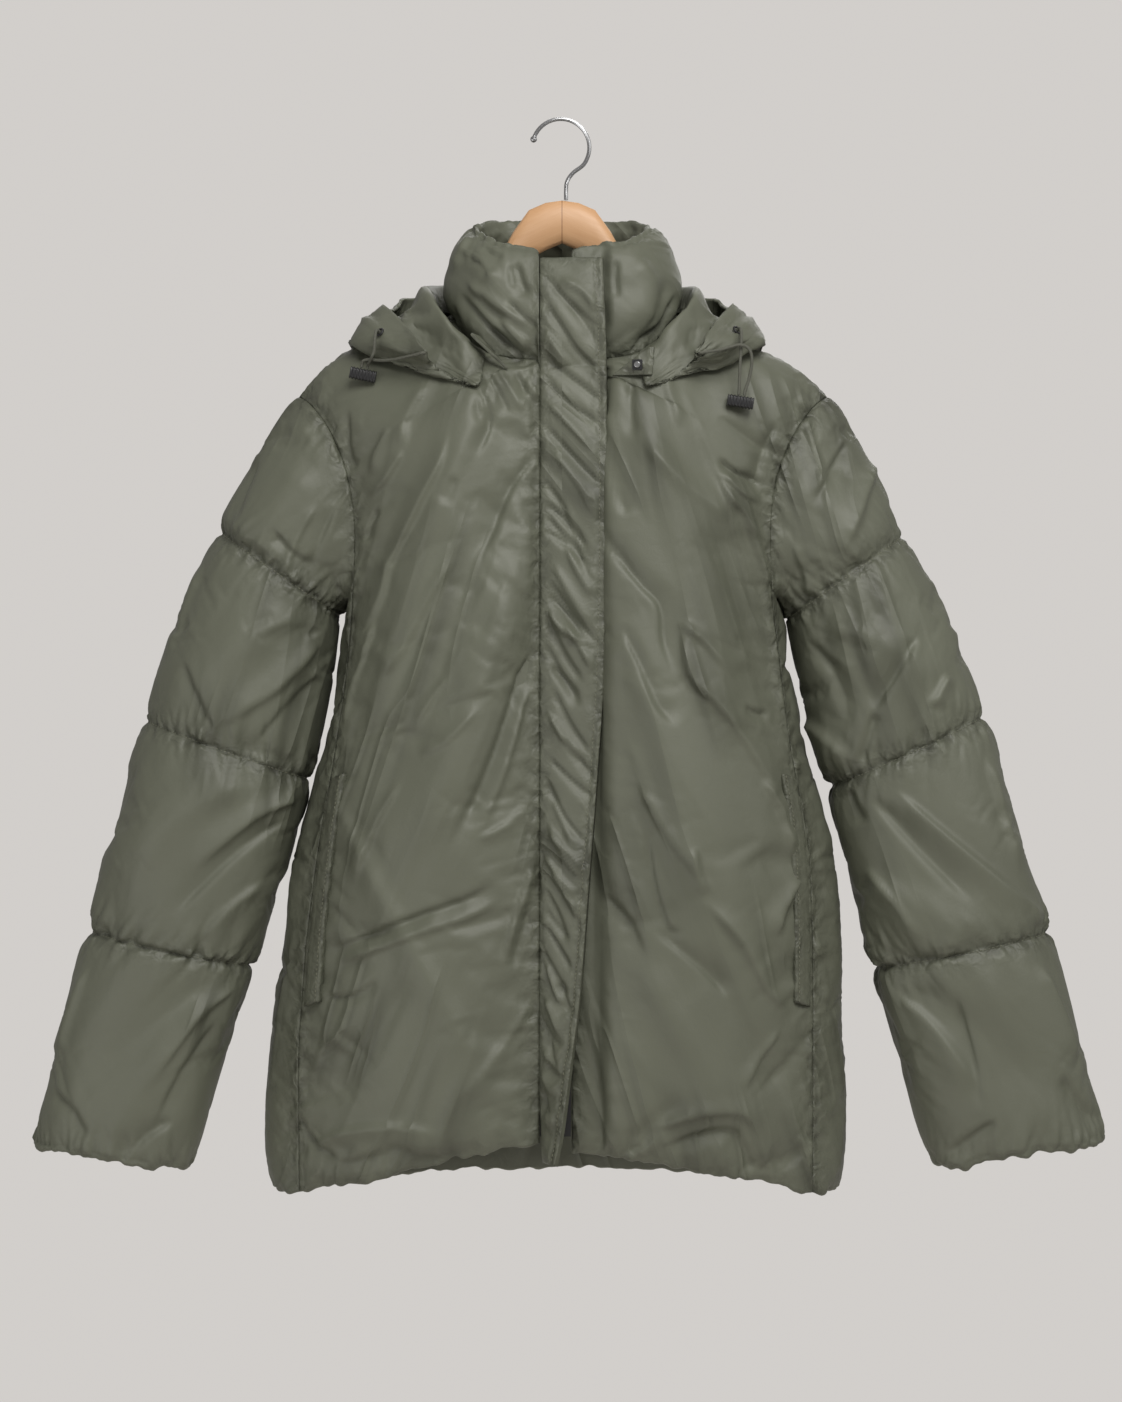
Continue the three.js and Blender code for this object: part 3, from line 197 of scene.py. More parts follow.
FLOOR_HEIGHT = -1.45
FLOOR_RADIUS = 1.8
FLOOR_CORNERS = 96
floor_mesh = bpy.data.meshes.new("floor")
floor_ring = [
    (FLOOR_RADIUS * math.cos(a), FLOOR_RADIUS * math.sin(a), FLOOR_HEIGHT)
    for a in np.linspace(0, 2 * math.pi, FLOOR_CORNERS, endpoint=False)
]
floor_mesh.from_pydata(floor_ring, [], [list(range(FLOOR_CORNERS))])
floor = add_object("floor", floor_mesh)
plaster = Shader("pale_plaster")
floor_mesh.materials.append(
    plaster.finish(
        Base_Color=plaster.blend(plaster.noise(2.2, 4), colour("#dcd8d2"), colour("#e6e2dd")),
        Roughness=0.85,
    )
)

# ---- Drawcord ends ----
# Round elastic cord, 2.6 mm across, with a fine braided cover. Two strands on each side hang from the
# hood's brim into a cord lock: one comes out of an eyelet and one out of the brim's corner.
CORD_DIAMETER = 0.0026
CORD_ROUTES = {
    "right_eyelet": [
        (-151.2, -66.6, -186.8), (-153.2, -68.8, -184.7), (-154.6, -72.5, -186),
        (-155.4, -75, -193), (-156, -74, -202), (-158, -72.5, -207), (-160.4, -66, -211),
        (-162, -61.4, -213.2), (-162.4, -60.5, -216),
    ],
    "right_brim": [
        (-113.6, -93.4, -206), (-114.8, -95.8, -205.8), (-120, -93, -207), (-130, -86, -208.6),
        (-140, -79, -210), (-151, -71, -210), (-160, -64.5, -208.6), (-165.4, -62.4, -209.4),
        (-166.7, -60.6, -212), (-167.3, -60.5, -214.9),
    ],
    "left_eyelet": [
        (145.2, -63.6, -184.8), (147.3, -65.7, -182.7), (148.6, -69.5, -184), (149, -73, -190),
        (148.4, -75.5, -202), (147.6, -75.5, -218), (147, -75.5, -235.2), (146.4, -75.5, -238.8),
    ],
    "left_brim": [
        (113.3, -92.6, -206), (114.7, -95.1, -205.6), (121, -93, -204.6), (131, -86, -202.5),
        (140, -81.4, -199.5), (148, -80, -197.8), (155, -78, -201), (157.6, -76.5, -210),
        (155.6, -75.2, -224), (152, -75.5, -235.4), (151.4, -75.5, -239.5),
    ],
}

braid = Shader("braided_cord")
braid_twist = braid.node(
    "ShaderNodeTexWave",
    {"wave_type": "BANDS", "bands_direction": "DIAGONAL"},
    {"Vector": braid.place, "Scale": 420, "Distortion": 1.5},
)
cord_material = braid.finish(
    Base_Color=braid.blend(braid.noise(900, 2), colour("#3f4038"), colour("#5d5e54")),
    Roughness=0.75,
    Normal=braid.bump(braid_twist, 0.0003, 0.6),
)


def smooth_span(a, b, c, d, t):
    """The point at share t of the way from b to c, on a smooth curve through a, b, c and d."""
    square, cube = 2 * a - 5 * b + 4 * c - d, 3 * b - a - 3 * c + d
    return 0.5 * (2 * b + (c - a) * t + square * t**2 + cube * t**3)


def smooth_route(points, per_span=4):
    """Points along a smooth curve through the given ones."""
    p = np.array(points, float)
    p = np.vstack([2 * p[0] - p[1], p, 2 * p[-1] - p[-2]])
    spans, shares = range(len(p) - 3), np.arange(per_span) / per_span
    return np.array([*(smooth_span(*p[i : i + 4], t) for i in spans for t in shares), p[-2]])


def add_curve(name, points, radius, material):
    data = bpy.data.curves.new(name, "CURVE")
    data.dimensions = "3D"
    data.bevel_depth = radius
    data.bevel_resolution = 4
    data.use_fill_caps = True
    spline = data.splines.new("POLY")
    spline.points.add(len(points) - 1)
    for point, place in zip(spline.points, points):
        point.co = (*place, 1)
    data.materials.append(material)
    return add_object(name, data)


cords = {}
for name, route in CORD_ROUTES.items():
    points = smooth_route(route) * MM
    piece = add_curve(f"drawcord_{name}", points, CORD_DIAMETER / 2, cord_material)
    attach(piece, "root")
    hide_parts(f"cord_{name}")
    cords[name] = (piece, points)

# ---- Fronts ----
# Each front is one padded panel from the closure to the side seam, with the forward shoulder above.
# It is olive nylon over loose fill, so it puffs between its seams and hangs in long slanting creases.
SPACING = 2.3  # between the points of a finished panel
INNER_STEP = 4  # the plainer inner face has one point for this many of the outer one
EDGE_HALF = 1.5  # a wall's faces stand this far off its middle at a seam
BODY_LOFT = 9.0  # how far the fill pushes the cloth out, well away from a seam
LOFT_REACH = 16.0  # how far from a seam most of that is reached
FREE_EDGE = 10.0  # a turned-up edge is as free as cloth this far from a seam
BODY_PRESSURE = 1.8
BODY_SLACK = 0.012
SHOULDER_ROW = 26
UNDERARM_ROW = 16
NECK_ROW = 20
CLOSURE = {-1: 19.0, 1: 8.0}  # distance of each front's edge from the middle
FLAP_RIGHT = 36.0
BODY = [
    # row, centre x y z, seam x right and left, seam y z, edge right and left, crown, back y, side y,
    # back z
    (0, 0, -82, -858, 219, 209, -48, -902, 248, 238, 10, 58, 42, -894),
    (3, 0, -86, -762, 220, 209, -50, -809, 246, 235, 15, 60, 43, -803),
    (6, 0, -88, -671, 215, 209, -50, -719, 237, 233, 19, 60, 43, -705),
    (9, 0, -88, -572, 204, 206, -49, -624, 223, 226, 21, 60, 42, -610),
    (12, 0, -87, -473, 188, 190, -48, -529, 197, 202, 20, 58, 41, -515),
    (14, 0, -86, -407, 179, 182, -46, -465, 186, 190, 19, 56, 41, -452),
    (16, 0, -84, -341, 174, 175, -44, -400, 180, 181, 17, 54, 42, -390),
    (18, 0, -80, -278, 173, 174, -50, -356, 177, 178, 14, 52, 45, -330),
    (20, 0, -73, -216, 177, 177, -50, -316, 180, 180, 11, 50, 44, -272),
    (22, 57, -58, -205, 187, 188, -45, -282, 187, 187, 7, 48, 38, -222),
    (24, 82, -34, -184, 204, 206, -32, -252, 204, 206, 3, 46, 24, -184),
    (25, 88, -20, -174, 214, 216, -19, -241, 214, 216, 1.2, 44, 10, -169),
    (26, 90, -5, -170, 222, 224, -5, -236, 222, 224, 0, 43, -5, -157),
]
# Creases: how wide, how far they stand proud (or sink), how steep one side is (1 its left as it runs,
# -1 its right), and their course as x z pairs.
FRONT_CREASES = {
    "right": [
        (22, 5, 0.3, (-60, -236, -96, -330, -132, -440, -168, -560)),
        (26, -5, 0.2, (-34, -262, -72, -380, -112, -500, -150, -600)),
        (24, 5, -0.3, (-22, -330, -52, -440, -86, -540, -128, -640)),
        (6, -3.5, 0.8, (-15, -278, -42, -320, -55, -353, -69, -380)),
        (
            10,
            4.5,
            0.9,
            (-90, -271, -97, -302, -113, -333, -129, -362, -138, -380, -144, -406, -160, -435, -178, -455),
        ),
        (6, 3, 0.8, (-126, -287, -140, -308, -161, -326)),
        (5, -3, -0.8, (-151, -333, -158, -348, -162, -362)),
        (9, 4, 0.9, (-149, -425, -158, -451, -171, -484, -187, -536)),
        (8, 3.5, 0.9, (-84, -375, -100, -402, -113, -429, -129, -460, -144, -475)),
        (5, 2.4, 0.8, (-90, -474, -104, -493, -120, -520)),
        (6, 2.6, 0.7, (-65, -499, -91, -527, -115, -538)),
        (9, -6, -0.9, (-14, -440, -33, -469, -46, -507, -57, -540, -69, -571, -77, -587, -90, -615)),
        (7, 4, 0.7, (-24, -470, -38, -520, -52, -566, -70, -610)),
        (6, -3.5, 0.7, (-174, -252, -177, -284, -171, -302)),
        (6, 3, -0.7, (-140, -268, -150, -286, -158, -306)),
        (5, -3.5, 0.8, (-69, -230, -58, -262, -71, -297)),
        (7, -2.4, 0.4, (-84, -312, -88, -322, -94, -334)),
        (10, -5.5, 0.9, (-192, -700, -150, -684, -108, -667, -72, -654, -50, -640)),
        (9, 4.5, -0.8, (-190, -712, -150, -697, -108, -680, -72, -668, -46, -652)),
        (7, 4.5, 0.9, (-49, -712, -38, -670, -26, -636, -18, -606)),
        (6, -3.5, -0.8, (-40, -716, -28, -676, -16, -642)),
        (6, -3.5, 0.8, (-196, -738, -168, -736, -148, -722)),
        (6, 3, 0.7, (-68, -607, -46, -595, -22, -574)),
        (12, -5, 0.8, (-196, -880, -150, -866, -135, -860, -108, -868, -62, -860)),
        (9, 4.5, 0.7, (-206, -864, -176, -848, -132, -842, -96, -850)),
        (7, -4, 0.8, (-214, -850, -200, -862, -180, -874)),
        (16, 4, 0.4, (-196, -560, -150, -640, -96, -740, -60, -800)),
        (20, -3.6, 0.3, (-120, -720, -160, -780, -196, -830)),
        (5, -3.4, 0.9, (-60, -224, -50, -242, -42, -257)),
        (4, 2.6, -0.8, (-52, -222, -42, -240, -34, -254)),
        (5, -3, 0.9, (-39, -220, -27, -240, -17, -251)),
        (4, -2.6, 0.8, (-69, -224, -62, -236, -54, -246)),
        (4, -2.4, 0.5, (-68, -246, -67, -256, -68, -268)),
        (7, 3, 0.8, (-110, -236, -124, -262, -128, -290)),
        (6, 2.6, 0.8, (-196, -330, -176, -352, -170, -372)),
        (6, 2.8, 0.8, (-128, -560, -150, -600, -170, -650)),
        (8, 3, -0.6, (-24, -740, -50, -780, -90, -830)),
    ],
    "left": [
        (24, 5, -0.3, (56, -236, 84, -330, 112, -430, 150, -560)),
        (26, -5, 0.2, (96, -250, 128, -340, 158, -440, 184, -540)),
        (26, 5, -0.2, (44, -420, 80, -520, 120, -620, 160, -720)),
        (8, -5, -0.9, (40, -350, 46, -374, 64, -399, 78, -416, 81, -446, 91, -478)),
        (9, 4.5, -0.8, (123, -300, 135, -327, 150, -340, 165, -377, 177, -424, 192, -478, 198, -525)),
        (10, 4.5, -0.9, (96, -426, 98, -471, 120, -496, 140, -520, 160, -550, 177, -572)),
        (14, 4, -0.6, (64, -283, 91, -312, 120, -332, 140, -345)),
        (6, -4.5, 0.8, (126, -294, 140, -304, 155, -308, 172, -314)),
        (7, 3.5, -0.8, (128, -306, 144, -320, 166, -328)),
        (6, 3, -0.8, (91, -431, 111, -446, 135, -476)),
        (5, -3.5, 0.8, (146, -498, 158, -503, 172, -504)),
        (7, -4, -0.8, (49, -431, 64, -466, 76, -496, 91, -515)),
        (6, -3, -0.6, (41, -262, 47, -322, 54, -344)),
        (7, -4, 0.8, (68, -603, 73, -640, 83, -677, 97, -684)),
        (6, 3, 0.7, (105, -612, 107, -632, 116, -652)),
        (5, -3, -0.7, (21, -646, 38, -677)),
        (8, -5, 0.9, (36, -648, 46, -664, 55, -677, 68, -708)),
        (10, 5, -0.9, (112, -657, 142, -692, 162, -727, 186, -750)),
        (7, -3.5, -0.8, (73, -679, 112, -712, 135, -736)),
        (8, 4, -0.7, (159, -558, 179, -590, 188, -630)),
        (5, 2.6, 0.8, (177, -764, 159, -788, 144, -813)),
        (12, -6, 0.8, (80, -862, 107, -850, 135, -846, 146, -860, 157, -877, 180, -888)),
        (9, 4.5, -0.7, (70, -846, 107, -832, 140, -830, 160, -846)),
        (7, -4, 0.6, (10, -840, 21, -866)),
        (8, 4, 0.8, (196, -640, 180, -664, 170, -690)),
        (6, -3.5, -0.8, (206, -560, 196, -590, 194, -620)),
        (20, 4, -0.3, (60, -700, 100, -780, 130, -840)),
        (18, -4, 0.3, (110, -690, 150, -770, 190, -830)),
        (8, 3.5, -0.8, (60, -560, 82, -600, 110, -640)),
        (6, -3, 0.8, (176, -262, 166, -290, 160, -318)),
        (5, -3, 0.7, (56, -232, 57, -254, 60, -282)),
        (5, 2.6, -0.7, (82, -226, 86, -248, 94, -272)),
        (4, -2.4, 0.6, (44, -228, 42, -246, 41, -262)),
        (7, 3, -0.6, (200, -420, 186, -460, 184, -500)),
    ],
}


def mix(a, b, t):
    return a + (b - a) * t


def ease(t):
    t = np.clip(t, 0, 1)
    return t * t * (3 - 2 * t)


def unit(vectors):
    return vectors / (np.linalg.norm(vectors, axis=-1, keepdims=True) + 1e-9)


class Curve:
    """A smooth curve through a table's rows, by their first column. It never overshoots."""

    def __init__(self, rows):
        table = np.array(sorted(rows), float)
        self.key, self.values = table[:, 0], table[:, 1:]
        steps = np.diff(self.values, axis=0) / np.diff(self.key)[:, None]
        before = np.vstack([steps[:1], steps])
        after = np.vstack([steps, steps[-1:]])
        total = np.where(before + after == 0, 1, before + after)
        self.slopes = np.where(before * after <= 0, 0, 2 * before * after / total)

    def __call__(self, value):
        value = np.asarray(value, float)
        i = np.clip(np.searchsorted(self.key, value, side="left") - 1, 0, len(self.key) - 2)
        span = (self.key[i + 1] - self.key[i])[..., None]
        t = np.clip((value[..., None] - self.key[i][..., None]) / span, 0, 1)
        low, high = self.values[i], self.values[i + 1]
        found = low * (1 + 2 * t) * (1 - t) ** 2 + high * t * t * (3 - 2 * t)
        found += (self.slopes[i] * (1 - t) - self.slopes[i + 1] * t) * span * t * (1 - t)
        return np.moveaxis(found, -1, 0)


body_curve = Curve(BODY)


def front_point(side, share, row):
    """A point of a front. side is -1 for the wearer's right and 1 for the left."""
    share, row = np.broadcast_arrays(np.asarray(share, float), np.asarray(row, float))
    cx, cy, cz, seam_r, seam_l, seam_y, seam_z, _, _, crown, _, _, _ = body_curve(row)
    inner = np.maximum(CLOSURE[side], cx)
    seam_x = seam_r if side < 0 else seam_l
    x = mix(inner, seam_x, share)
    covered = 1 - ease((x - FLAP_RIGHT + 4) / 16) if side > 0 else 0
    start = np.maximum(inner, FLAP_RIGHT - 6) if side > 0 else inner
    crown_share = np.clip((x - start) / (seam_x - start), 0, 1)
    arch = (1 - (2 * crown_share - 1) ** 2) ** 0.8
    y = mix(cy, seam_y, share**1.6) - crown * arch + 6.5 * covered
    sweep = 1 + 0.3 * (1 - row / SHOULDER_ROW)
    shoulder = np.clip((row - NECK_ROW) / (SHOULDER_ROW - NECK_ROW), 0, 1)
    rounding = (16 if side < 0 else 10) * np.sin(math.pi * share**2) * shoulder
    drop = 9 * (1 - share) ** 2 * (1 - ease(row / 6)) if side > 0 else 0
    z = mix(cz, seam_z, share**sweep) + rounding - drop
    return np.stack([side * x, y, z], -1)


def even_steps(line, spacing=SPACING):
    """Where to cut a dense line of points into even steps, as fractional indices."""
    run = np.concatenate([[0], np.cumsum(np.linalg.norm(np.diff(line, axis=0), axis=1))])
    total = max(int(round(run[-1] / spacing / INNER_STEP)), 1) * INNER_STEP
    return np.interp(np.linspace(0, run[-1], total + 1), run, np.arange(len(line)))


def cut(point, low, high, count, spacing=SPACING):
    """The values from low to high at which point, a function of one value, moves on in even steps."""
    return low + even_steps(point(np.linspace(low, high, count + 1)), spacing) * (high - low) / count


def normals_of(points, is_tube, toward):
    """Unit normals of a grid of points, on the side that toward points to on the whole."""
    turned = np.roll(points, -1, 1) - np.roll(points, 1, 1)
    across = turned if is_tube else np.gradient(points, axis=1)
    normal = unit(np.cross(across, np.gradient(points, axis=0)))
    return normal if (toward * normal).sum() > 0 else -normal


def down_run(points):
    steps = np.linalg.norm(np.diff(points, axis=0), axis=-1)
    return np.concatenate([np.zeros((1, points.shape[1])), np.cumsum(steps, 0)])


def across_run(points):
    return down_run(points.swapaxes(0, 1)).T


class Panel:
    """A grid of cloth: its points in rows, outward normals, and how far each lies from a seam."""

    def __init__(self, name, points, held_rows, toward, is_tube=False):
        self.name, self.base, self.is_tube = name, points, is_tube
        self.normals = normals_of(points, is_tube, toward)
        self.down, self.across = down_run(points), across_run(points)
        self.from_last = self.across[:, -1:] - self.across
        self.distance = np.full(self.down.shape, 1e9)
        for row, extra in held_rows:
            self.distance = np.minimum(self.distance, np.abs(self.down - self.down[row]) + extra)
        if not is_tube:
            self.distance = np.minimum(self.distance, np.minimum(self.across, self.from_last))
        self.free = ease(self.distance / 13)
        self.pin = np.clip(1 - self.distance / 4, 0, 1)
        self.lift = np.full(self.down.shape, EDGE_HALF)
        self.crease = np.zeros(self.down.shape)
        self.shift = np.zeros(points.shape)


def ripple(spots, seed):
    """Smooth noise from -1 to 1 at each spot."""
    flat = np.asarray(spots).reshape(-1, 3) + seed * 17.3
    return np.array([noise.noise(p) for p in flat.tolist()]).reshape(spots.shape[:-1])


def streaks(panel, slant, pitch, length, seed):
    """Long folds that run down at a slant, with rounded flanks and a few sharp crests."""
    x, y, z = np.moveaxis(panel.base, -1, 0)
    across = x * math.cos(slant) + z * math.sin(slant)
    along = z * math.cos(slant) - x * math.sin(slant)
    fold = ripple(np.stack([across / pitch, along / length, y / 90], -1), seed)
    crest = np.clip(1 - 3.2 * np.abs(fold), 0, 1) ** 2
    where = ease(ripple(np.stack([x / 60, y / 60, z / 60], -1), seed + 1) * 2 + 0.4)
    return 1.5 * fold + 0.55 * crest * where


def gathers(off, place, pitch, depth, reach, seed):
    """Puckers that stand square to a seam and fade away from it.

    off is the distance from the seam, and place is where each point lies along it.
    """
    if place.ndim == off.ndim:
        place = np.stack([place, place * 0], -1)
    spots = np.concatenate([place / pitch, (off / reach / 2.6)[..., None]], -1)
    wave = ripple(spots, seed)
    crest = 1 - np.clip(np.abs(wave) * 3, 0, 1)
    strength = 0.6 + 0.5 * ripple(np.concatenate([place / 45, off[..., None] * 0], -1), seed + 2)
    return depth * strength * np.exp(-off / reach) * ease(off / 3) * (1.5 * wave - 1.5 * crest + 0.4)


def pucker(panel, rows, strength=1):
    """Gathers a panel at its seams. rows has the arguments of gathers, one seam and size at a time."""
    for row in rows:
        panel.crease += strength * gathers(*row)


def crease_lift(points, creases):
    """The lift of given creases, laid over the x and z of a grid."""
    flat = points[..., [0, 2]].reshape(-1, 2)
    lift = np.zeros(len(flat))
    for width, height, steep, course in creases:
        course = np.array(course, float).reshape(-1, 2)
        line = smooth_route(np.column_stack([course, course[:, 0] * 0]), 4)[:, :2]
        near = np.all((flat > line.min(0) - 6 * width) & (flat < line.max(0) + 6 * width), axis=1)
        spots = flat[near]
        best, side, share = np.full(len(spots), 1e9), np.zeros(len(spots)), np.zeros(len(spots))
        for k in range(len(line) - 1):
            step = line[k + 1] - line[k]
            t = np.clip(((spots - line[k]) @ step) / (step @ step), 0, 1)
            gap = spots - line[k] - t[:, None] * step
            reach = np.hypot(*gap.T)
            closer = reach < best
            best[closer] = reach[closer]
            side[closer] = np.sign(step[0] * gap[closer, 1] - step[1] * gap[closer, 0])
            share[closer] = (k + t[closer]) / (len(line) - 1)
        spread = width * (0.5 + 0.6 * share)
        stiff = np.where(side * np.sign(steep) > 0, 1 - 0.68 * abs(steep), 1 + 0.5 * abs(steep))
        away = best / (spread * stiff)
        fade = ease(share * 4.5 + 0.1) * ease((1 - share) * 3.5 + 0.05)
        profile = mix(np.exp(-(away**2)), np.exp(-1.5 * away), 0.45 * abs(steep))
        lift[near] += 1.2 * height * fade * profile * ease((4 - away) / 2)
    return lift.reshape(points.shape[:-1])


def quads_of(index, is_tube=False):
    if is_tube:
        index = np.concatenate([index, index[:, :1]], 1)
    return np.stack([index[:-1, :-1], index[:-1, 1:], index[1:, 1:], index[1:, :-1]], -1).reshape(-1, 4)


def new_piece(name, points, faces):
    mesh = bpy.data.meshes.new(name)
    mesh.from_pydata((np.asarray(points).reshape(-1, 3) * MM).tolist(), [], [list(f) for f in faces])
    return add_object(name, mesh)


def face_outward(mesh):
    solid = bmesh.new()
    solid.from_mesh(mesh)
    bmesh.ops.recalc_face_normals(solid, faces=solid.faces)
    solid.to_mesh(mesh)
    solid.free()


def finer(values, is_tube):
    """Twice as many points each way, on smooth curves through the given ones."""
    for axis in (0, 1):
        values = np.moveaxis(values, axis, 0)
        if axis and is_tube:
            before, after, second = (np.roll(values, k, 0) for k in (1, -1, -2))
            out = np.stack([values, (9 * (values + after) - before - second) / 16], 1)
            out = out.reshape(-1, *values.shape[1:])
        else:
            ends = 2 * values[:1] - values[1:2], 2 * values[-1:] - values[-2:-1]
            more = np.concatenate([ends[0], values, ends[1]])
            out = np.zeros((2 * len(values) - 1, *values.shape[1:]))
            out[::2] = values
            out[1::2] = (9 * (more[1:-2] + more[2:-1]) - more[:-3] - more[3:]) / 16
        values = np.moveaxis(out, 0, axis)
    return values


LAST_FRAME = 20  # of the settling
INNER_AWAY = 20.0  # the inner face is shaded as cloth this far from a seam
HEM_SWELL = 2.6  # how far the hem swells and draws in along its length
HEM_PIN = 0.3  # how firmly a free edge is held while its panel settles


def settle(panel, pressure, slack, reach=9.0):
    """The panel's outer face, after its filling has pushed out the cloth between the seams.

    Every second point is settled as cloth with no gravity. No point moves further than reach, and the
    creases are laid on top.
    """
    start = panel.base + panel.normals * panel.lift[..., None] + panel.shift
    creases = panel.normals * panel.crease[..., None]
    coarse = start[::2, ::2]
    rows, columns = coarse.shape[:2]
    index = np.arange(rows * columns).reshape(rows, columns)
    cloth = new_piece(panel.name + "_settling", coarse, quads_of(index, panel.is_tube))
    spot = (rows // 2) * (columns if panel.is_tube else columns - 1) + columns // 2
    outward = Vector(panel.normals[rows // 2 * 2, columns // 2 * 2])
    if cloth.data.polygons[spot].normal.dot(outward) < 0:
        cloth.data.flip_normals()
    held = cloth.vertex_groups.new(name="held")
    weights = panel.pin[::2, ::2].reshape(-1)
    for i in np.nonzero(weights > 0)[0]:
        held.add([int(i)], float(weights[i]), "REPLACE")
    modifier = cloth.modifiers.new("settle", "CLOTH")
    modifier.point_cache.frame_start, modifier.point_cache.frame_end = 1, LAST_FRAME
    modifier.collision_settings.use_collision = False
    settings = modifier.settings
    settings.quality = 4
    settings.vertex_group_mass = "held"
    settings.effector_weights.gravity = 0
    settings.use_pressure = True
    settings.uniform_pressure_force = pressure
    settings.shrink_min = -slack
    settings.tension_stiffness = settings.compression_stiffness = 15
    settings.shear_stiffness = 4
    settings.bending_stiffness = 0.5
    settings.air_damping = 2
    for frame_number in range(1, LAST_FRAME + 1):
        stage.frame_set(frame_number)
    settled = cloth.evaluated_get(bpy.context.evaluated_depsgraph_get()).to_mesh()
    found = np.zeros(rows * columns * 3)
    settled.vertices.foreach_get("co", found)
    bpy.data.objects.remove(cloth)
    stage.frame_set(1)
    move = found.reshape(coarse.shape) / MM - coarse
    far = np.linalg.norm(move, axis=-1, keepdims=True)
    kept = move * (reach * np.tanh(far / reach) / np.maximum(far, 1e-6))
    return start + creases + finer(kept, panel.is_tube)


def finish_cloth(piece, flats, away, node, material=None):
    mesh = piece.data
    corners = np.zeros(len(mesh.loops), int)
    mesh.loops.foreach_get("vertex_index", corners)
    mesh.uv_layers.new(name="cloth").data.foreach_set("uv", flats.reshape(-1, 2)[corners].reshape(-1))
    mesh.attributes.new("seam", "FLOAT", "POINT").data.foreach_set("value", away.reshape(-1))
    face_outward(mesh)
    mesh.polygons.foreach_set("use_smooth", [True] * len(mesh.polygons))
    mesh.materials.append(material or nylon)
    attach(piece, "root")
    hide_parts(node)
    return piece


RIM_TURNS = np.radians([30, 60, 90, 120, 150])


def rolled_rim(outer, inner, past):
    """Lines that turn a free edge from its outer to its inner one, and swell the way past points."""
    centre, half_way = (outer + inner) / 2, (outer - inner) / 2
    thick = np.linalg.norm(half_way, axis=-1, keepdims=True)
    return np.array([centre + half_way * math.cos(a) + past * thick * math.sin(a) for a in RIM_TURNS])


def close_panel(panel, outer, edge_row=None, material=None):
    """The panel as a closed piece: its outer face, rims, and a plainer inner face.

    edge_row names a free edge, 0 or -1, which is rounded off.
    """
    inner_face = panel.base - panel.normals * EDGE_HALF
    inner = inner_face[::INNER_STEP, ::INNER_STEP]
    flats = np.stack([panel.across, panel.down], -1) * MM
    away = panel.distance
    coarse_flats = flats[::INNER_STEP, ::INNER_STEP]
    if edge_row is not None:
        past = unit(panel.base[edge_row] - panel.base[1 if edge_row == 0 else -2])
        low = inner_face[edge_row] + panel.shift[edge_row]
        rolled = rolled_rim(outer[edge_row], low, past)
        more = len(RIM_TURNS)
        pad = ((more, 0), (0, 0)) if edge_row == 0 else ((0, more), (0, 0))
        outer = np.concatenate([rolled[::-1], outer] if edge_row == 0 else [outer, rolled])
        flats = np.pad(flats, (*pad, (0, 0)), "edge")
        away = np.pad(away, pad, "edge")
        inner[edge_row] = low[::INNER_STEP]
    rows, columns = outer.shape[:2]
    top = np.arange(rows * columns).reshape(rows, columns)
    low = rows * columns + np.arange(inner.shape[0] * inner.shape[1]).reshape(inner.shape[:2])
    faces = quads_of(top, panel.is_tube).tolist() + quads_of(low, panel.is_tube)[:, ::-1].tolist()

    def rim(fine, coarse):
        for i in range(len(coarse) - 1):
            a, b, k = coarse[i], coarse[i + 1], i * INNER_STEP
            faces.append([fine[k + INNER_STEP // 2], a, b])
            for j in range(INNER_STEP):
                faces.append([fine[k + j], a if j < INNER_STEP // 2 else b, fine[k + j + 1]])

    wrap = (lambda line: np.append(line, line[0])) if panel.is_tube else (lambda line: line)
    rim(wrap(top[0]).tolist(), wrap(low[0]).tolist())
    rim(wrap(top[-1]).tolist(), wrap(low[-1]).tolist())
    if not panel.is_tube:
        first = len(RIM_TURNS) if edge_row == 0 else 0
        for column in (0, -1):
            line, corner = top[:, column].tolist(), int(low[0, column])
            rim(line[first:], low[:, column].tolist())
            faces.extend([line[k], corner, line[k + 1]] for k in range(first))
    points = np.concatenate([outer.reshape(-1, 3), inner.reshape(-1, 3)])
    flats = np.concatenate([flats.reshape(-1, 2), coarse_flats.reshape(-1, 2)])
    away = np.concatenate([away.reshape(-1), np.full(low.size, INNER_AWAY)])
    piece = new_piece(panel.name + "_cloth", points, faces)
    return finish_cloth(piece, flats, away, panel.name, material)


def loft(panel, height, reach=LOFT_REACH):
    """How far the outer face stands off the middle of the wall, low at the seams."""
    return EDGE_HALF + height * (1 - np.exp(-panel.distance / reach))


def scallop(panel, edge_row, depth, seed):
    """Lets a free edge swell and draw in along its length, between the tacks of its turning."""
    off = np.abs(panel.down - panel.down[edge_row])
    turn = panel.base * [1, 1, 0] / 26
    wave = ripple(np.broadcast_to(turn[edge_row], panel.base.shape), seed)
    small = ripple(np.broadcast_to(turn[edge_row] * 2.6, panel.base.shape), seed + 1)
    past = unit(panel.base[edge_row] - panel.base[1 if edge_row == 0 else -2])
    fade = np.exp(-((off / 16) ** 2))
    panel.shift += past * (depth * (wave + 0.5 * small) * fade)[..., None]
    panel.crease += depth * 0.9 * (wave + 0.6 * small) * np.exp(-((off / 22) ** 2))


